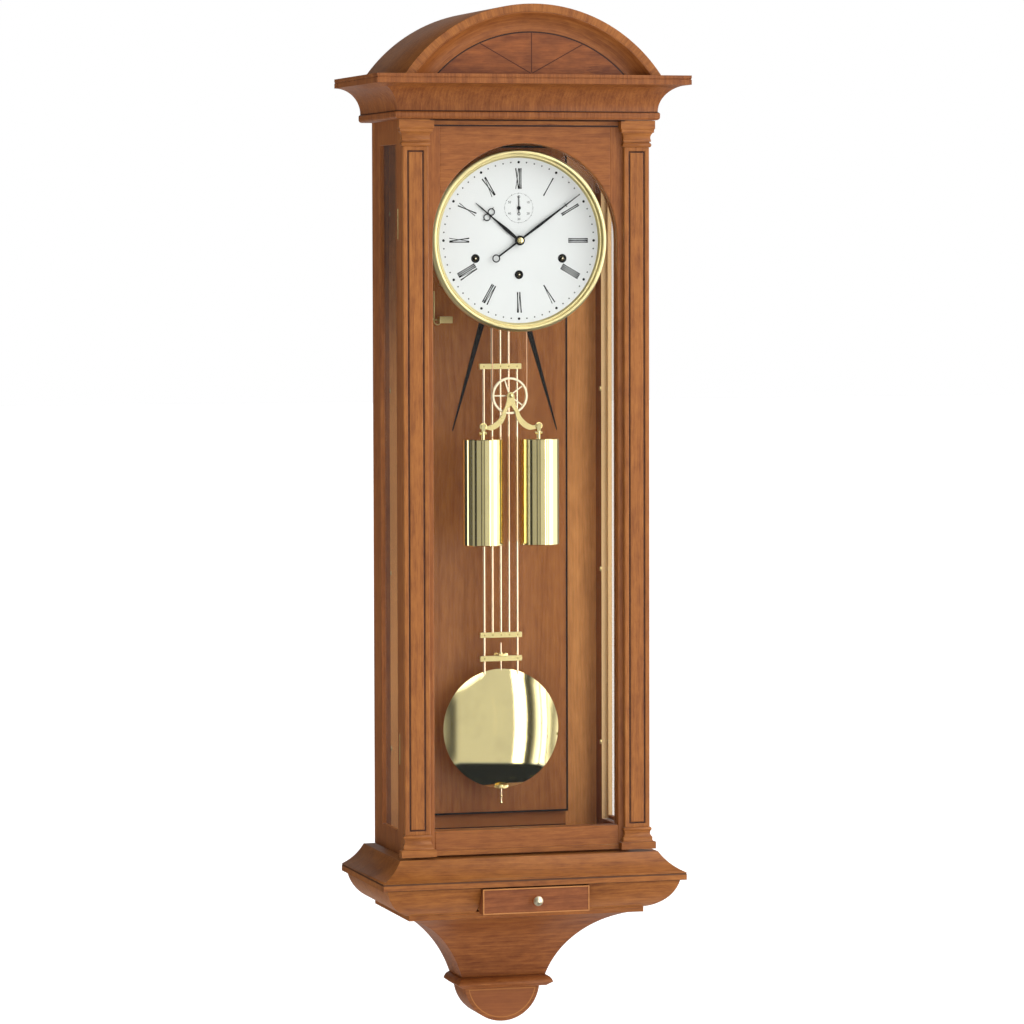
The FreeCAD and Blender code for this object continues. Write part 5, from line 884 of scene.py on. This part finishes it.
def addHand(name, size):
    front, thick = size["front"], size["thick"]
    pieces = [handStrip(size["blade"], front, thick)]
    if size["tail"]:
        pieces.append(handStrip(size["tail"], front, thick))
    bpy.ops.mesh.primitive_cylinder_add(
        vertices=32, radius=size["boss"], depth=thick, location=(0, front + thick / 2, 0),
        rotation=facing,
    )
    settle()
    pickFaces(lambda centre, normal: normal.y < -0.9)
    bpy.ops.mesh.inset(thickness=size["boss"] * handShares["bossRim"])
    pieces.append(settle())
    for side, along, radius, wire in size["rings"]:
        bpy.ops.mesh.primitive_torus_add(
            major_radius=radius, minor_radius=wire, major_segments=36, minor_segments=8,
            location=(side, front + thick / 2, along), rotation=facing,
        )
        resizeAll((1, thick / (wire * 2), 1))
        pieces.append(settle())
    for side, along, wide, high in size["bars"]:
        bpy.ops.mesh.primitive_cube_add(size=1, location=(side, front + thick / 2, along))
        resizeAll((wide, thick, high))
        pickFaces(lambda centre, normal: normal.x * side > 0)
        bpy.ops.transform.resize(value=(1, 1, handShares["barTip"]))
        pieces.append(settle())
    selectOnly(pieces)
    bpy.ops.object.join()
    hand = settle()
    hand.rotation_euler = (0, math.radians(size["angle"]), 0)
    hand.location = (0, 0, size["centre"])
    settle()
    hand.name = name
    cover(hand, black)
    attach(hand, size["body"])
    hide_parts(size["node"])


for handName, handSize in hands.items():
    addHand(handName, handSize)
print("hands ready")


# Nut and collar that hold the hands, riding on the minute arbor

handCollar = {"z": -0.1771, "back": -0.1559, "high": 0.0013, "radius": 0.0067, "rim": 0.22, "step": 0.3}
handNut = {"high": 0.0042, "radius": 0.0042, "crown": 0.4, "knurls": 18, "gap": 0.02, "cut": 0.94}


def addHandCollar():
    size = handCollar
    place = (0, size["back"] - size["high"] / 2, size["z"])
    bpy.ops.mesh.primitive_cylinder_add(
        vertices=40, radius=size["radius"], depth=size["high"], location=place, rotation=facing
    )
    settle()
    pickFaces(lambda centre, normal: normal.y < -0.9)
    bpy.ops.mesh.inset(thickness=size["radius"] * size["rim"])
    step = -size["high"] * size["step"]
    bpy.ops.mesh.extrude_region_move(TRANSFORM_OT_translate={"value": (0, step, 0)})
    collar = settle()
    bpy.ops.object.shade_smooth_by_angle(angle=math.radians(35))
    cover(collar, black)
    collar.name = "hand_collar"
    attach(collar, "minute")


def addHandNut():
    size = handNut
    place = (0, handCollar["back"] - handCollar["high"] - size["high"] / 2, handCollar["z"])
    bpy.ops.mesh.primitive_cylinder_add(
        vertices=36, radius=size["radius"], depth=size["high"], location=place, rotation=facing
    )
    settle()
    pickFaces(lambda centre, normal: normal.y < -0.9)
    bpy.ops.mesh.bevel(offset=size["radius"] * size["crown"], segments=4)
    knurl = math.tau / size["knurls"]

    def onKnurl(centre, normal):
        return abs(normal.y) < 0.2 and math.atan2(normal.z, normal.x) % knurl < knurl / 2

    pickFaces(onKnurl)
    bpy.ops.mesh.inset(thickness=size["radius"] * size["gap"], use_individual=True)
    bpy.ops.transform.resize(value=(size["cut"], 1, size["cut"]), center_override=place)
    nut = settle()
    bpy.ops.object.shade_smooth_by_angle(angle=math.radians(30))
    cover(nut, polished)
    nut.name = "hand_nut"
    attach(nut, "minute")


addHandCollar()
addHandNut()
print("hand nut ready")


# Pendulum: pins through the crossbars, knurled rims, the thread and the ball under the bob

crossPins = {"radius": 0.0010, "proud": 0.0004, "front": -0.0598, "pitch": 0.0117, "edge": 0.8}
pinnedBars = {-0.3475: (-2, -1, 0, 1, 2), -0.7137: (-2, -1, 0, 1, 2), -0.7459: (-2, 2)}
knurls = {
    "count": 40, "radius": 0.0092, "rib": 0.00042, "high": 0.0030, "edge": 0.4, "z": (-0.7404, -0.9208),
}
ratingThread = {
    "y": -0.057, "radius": 0.00145, "wire": 0.00028, "pitch": 0.0009, "top": -0.9300, "foot": -0.9405,
    "squash": 0.8,
}
ratingBall = {"z": -0.9345, "radius": 0.0021, "squash": 0.82}


def addCrossPins():
    size = crossPins
    bpy.ops.mesh.primitive_cylinder_add(
        vertices=16, radius=size["radius"], depth=size["proud"] * 2, rotation=facing
    )
    settle()
    pickFaces(lambda centre, normal: normal.y < -0.9)
    bpy.ops.mesh.bevel(offset=size["proud"] * size["edge"], segments=2)
    pin = settle()
    pins = []
    for z, places in pinnedBars.items():
        for place in places:
            pins.append(copied(pin, (place * size["pitch"], size["front"], z)))
    removed(pin)
    joinedPiece("crossbar_pins", pins, "pendulum", tarnished)


def addKnurls():
    size = knurls
    bpy.ops.mesh.primitive_cylinder_add(vertices=8, radius=size["rib"], depth=size["high"])
    pickFaces(lambda centre, normal: abs(normal.z) > 0.9)
    bpy.ops.mesh.bevel(offset=size["rib"] * size["edge"], segments=1)
    rib = settle()
    ribs = []
    for middle in size["z"]:
        for step in range(size["count"]):
            angle = math.tau * step / size["count"]
            x = size["radius"] * math.cos(angle)
            y = ratingThread["y"] + size["radius"] * math.sin(angle)
            ribs.append(copied(rib, (x, y, middle)))
    removed(rib)
    joinedPiece("nut_knurls", ribs, "pendulum", polished)


def addThread():
    size = ratingThread
    bpy.ops.mesh.primitive_torus_add(
        major_radius=size["radius"], minor_radius=size["wire"], major_segments=20, minor_segments=6
    )
    resizeAll((1, 1, size["squash"]))
    ring = settle()
    rings = []
    for turn in range(int((size["top"] - size["foot"]) / size["pitch"])):
        rings.append(copied(ring, (0, size["y"], size["top"] - turn * size["pitch"])))
    removed(ring)
    joinedPiece("rating_thread", rings, "pendulum", satin)


def addRatingBall():
    size = ratingBall
    place = (0, ratingThread["y"], size["z"])
    ball = squashedBall(24, 14, size["radius"], place, (0, 0, 0), (1, 1, size["squash"]))
    cover(ball, polished)
    ball.name = "rating_ball"
    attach(ball, "pendulum")


tarnished = metalPaint("tarnishedBrass", (0.36, 0.25, 0.09, 1), 0.35, "Y", 0.1, 0.05)
addCrossPins()
addKnurls()
addThread()
addRatingBall()
print("pendulum details ready")


# Yoke: the bright head of the pulley's pin, and a raised ring round each eye

yokeHead = {"y": -0.1118, "z": -0.3862, "radius": 0.0029, "squash": 0.7}
eyeRings = {"x": 0.039, "y": -0.1109, "z": -0.4272, "radius": 0.0044, "wire": 0.0008, "squash": 0.8}


def addYokeHead():
    size = yokeHead
    place = (0, size["y"], size["z"])
    head = squashedBall(28, 16, size["radius"], place, facing, (1, size["squash"], 1))
    cover(head, polished)
    head.name = "yoke_head"
    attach(head, "yoke")


def addEyeRings():
    size = eyeRings
    bpy.ops.mesh.primitive_torus_add(
        major_radius=size["radius"], minor_radius=size["wire"], major_segments=36, minor_segments=10,
        rotation=facing,
    )
    resizeAll((1, size["squash"], 1))
    ring = settle()
    bpy.ops.object.shade_smooth()
    rings = [copied(ring, (side * size["x"], size["y"], size["z"])) for side in (-1, 1)]
    removed(ring)
    joinedPiece("eye_rings", rings, "yoke", polished)


addYokeHead()
addEyeRings()
print("yoke details ready")


# Weight cable: two strands of twisted wire

cable = {
    "y": -0.1045, "x": 0.024, "radius": 0.00072, "foot": -0.3862, "ring": 0.0008, "turnPitch": 0.0052,
    "wires": 3, "hollow": 0.72,
}
strandTops = {"drum_strand": (1, -0.2228), "post_strand": (-1, -0.2580)}


def addStrand(name, side, top):
    size = cable
    long = top - size["foot"]
    count = round(long / size["ring"])
    bpy.ops.mesh.primitive_cylinder_add(
        vertices=12, radius=size["radius"], depth=long / count, end_fill_type="NOTHING"
    )
    wire = math.tau / size["wires"]
    pickPoints(lambda point: math.atan2(point.y, point.x) % wire < wire / 4)
    bpy.ops.transform.resize(value=(size["hollow"], size["hollow"], 1), center_override=(0, 0, 0))
    bpy.ops.object.mode_set(mode="OBJECT")
    strand = bpy.context.object
    rings = strand.modifiers.new("rings", "ARRAY")
    rings.count = count
    rings.use_relative_offset = False
    rings.use_constant_offset = True
    rings.constant_offset_displace = (0, 0, long / count)
    rings.use_merge_vertices = True
    rings.merge_threshold = mergeDistance
    bpy.ops.object.modifier_apply(modifier="rings")
    twist = strand.modifiers.new("twist", "SIMPLE_DEFORM")
    twist.deform_method = "TWIST"
    twist.deform_axis = "Z"
    twist.angle = math.tau * long / size["turnPitch"]
    bpy.ops.object.modifier_apply(modifier="twist")
    strand.location = (side * size["x"], size["y"], size["foot"] + long / count / 2)
    settle()
    bpy.ops.object.mode_set(mode="EDIT")
    bpy.ops.mesh.select_all(action="SELECT")
    bpy.ops.mesh.fill_holes(sides=0)
    settle()
    bpy.ops.object.shade_smooth_by_angle(angle=math.radians(60))
    strand.name = name
    cover(strand, cableWire)
    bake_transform(strand)
    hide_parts("cable_strands")


for strandName, (strandSide, strandTop) in strandTops.items():
    addStrand(strandName, strandSide, strandTop)
print("cable ready")


# Bright tips of the winding squares in the dial's grommets

windingTips = {  # body, and place across and up
    "strike_tip": ("strike", -0.0605, -0.2011),
    "chime_tip": ("chime", 0.0605, -0.2011),
    "drum_tip": ("drum", 0, -0.2228),
}
tipSize = {"radius": 0.0012, "y": -0.1530, "squash": 0.35}


def addWindingTip(name, body, x, z):
    tip = squashedBall(16, 10, tipSize["radius"], (x, tipSize["y"], z), facing, (1, tipSize["squash"], 1))
    tip.name = name
    cover(tip, pulleyBrass)
    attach(tip, body)


for tipName, (tipBody, tipX, tipZ) in windingTips.items():
    addWindingTip(tipName, tipBody, tipX, tipZ)
print("winding tips ready")


# Bend of the gong's front rod, which passes under its block

gongBend = {"x": -0.0885, "y": -0.0420, "top": -0.2450, "low": -0.2860, "radius": 0.0045, "wire": 0.0009}


def addGongBend():
    size = gongBend
    long = size["top"] - size["low"]
    place = (size["x"], size["y"], size["low"] + long / 2)
    bpy.ops.mesh.primitive_cylinder_add(vertices=16, radius=size["wire"], depth=long, location=place)
    rod = settle()
    bpy.ops.mesh.primitive_torus_add(
        major_radius=size["radius"], minor_radius=size["wire"], major_segments=32, minor_segments=16,
        location=(size["x"] + size["radius"], size["y"], size["low"]), rotation=facing,
    )
    settle()
    pickFaces(lambda centre, normal: centre.z > size["low"])
    bpy.ops.mesh.delete(type="FACE")
    bpy.ops.mesh.select_all(action="SELECT")
    bpy.ops.mesh.fill_holes(sides=0)
    joinedPiece("gong_bend", [rod, settle()], "case", satin)
    bpy.ops.object.shade_smooth_by_angle(angle=math.radians(40))


addGongBend()
print("gong bend ready")


# Bead round the drawer's front

drawerBead = {
    "half": 0.074, "low": -1.0727, "high": -1.0382, "y": -0.228, "rim": 0.0017, "proud": 0.0008,
    "taper": (0.996, 1, 0.985), "edge": 0.5,
}


def addDrawerBead():
    size = drawerBead
    middle = (size["low"] + size["high"]) / 2
    bpy.ops.mesh.primitive_plane_add(size=1, location=(0, size["y"], middle), rotation=facing)
    resizeAll((size["half"] * 2, 1, size["high"] - size["low"]))
    bpy.ops.mesh.inset(thickness=size["rim"])
    bpy.ops.mesh.delete(type="FACE")
    bpy.ops.mesh.select_all(action="SELECT")
    bpy.ops.mesh.extrude_region_move(TRANSFORM_OT_translate={"value": (0, -size["proud"], 0)})
    bpy.ops.transform.resize(value=size["taper"])
    bpy.ops.mesh.select_all(action="SELECT")
    bpy.ops.mesh.normals_make_consistent(inside=False)
    bead = settle()
    edges = bead.modifiers.new("edges", "BEVEL")
    edges.width = size["proud"] * size["edge"]
    edges.segments = 3
    edges.angle_limit = math.radians(40)
    bpy.ops.object.modifier_apply(modifier="edges")
    bpy.ops.object.shade_smooth_by_angle(angle=math.radians(40))
    bead.name = "drawer_bead"
    cover(bead, beadWood)
    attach(bead, "drawer")


beadWood = woodPaint("beadWood", "X", (0.3, 0.2, 0.15), "bead", 0.4)
addDrawerBead()
print("drawer bead ready")
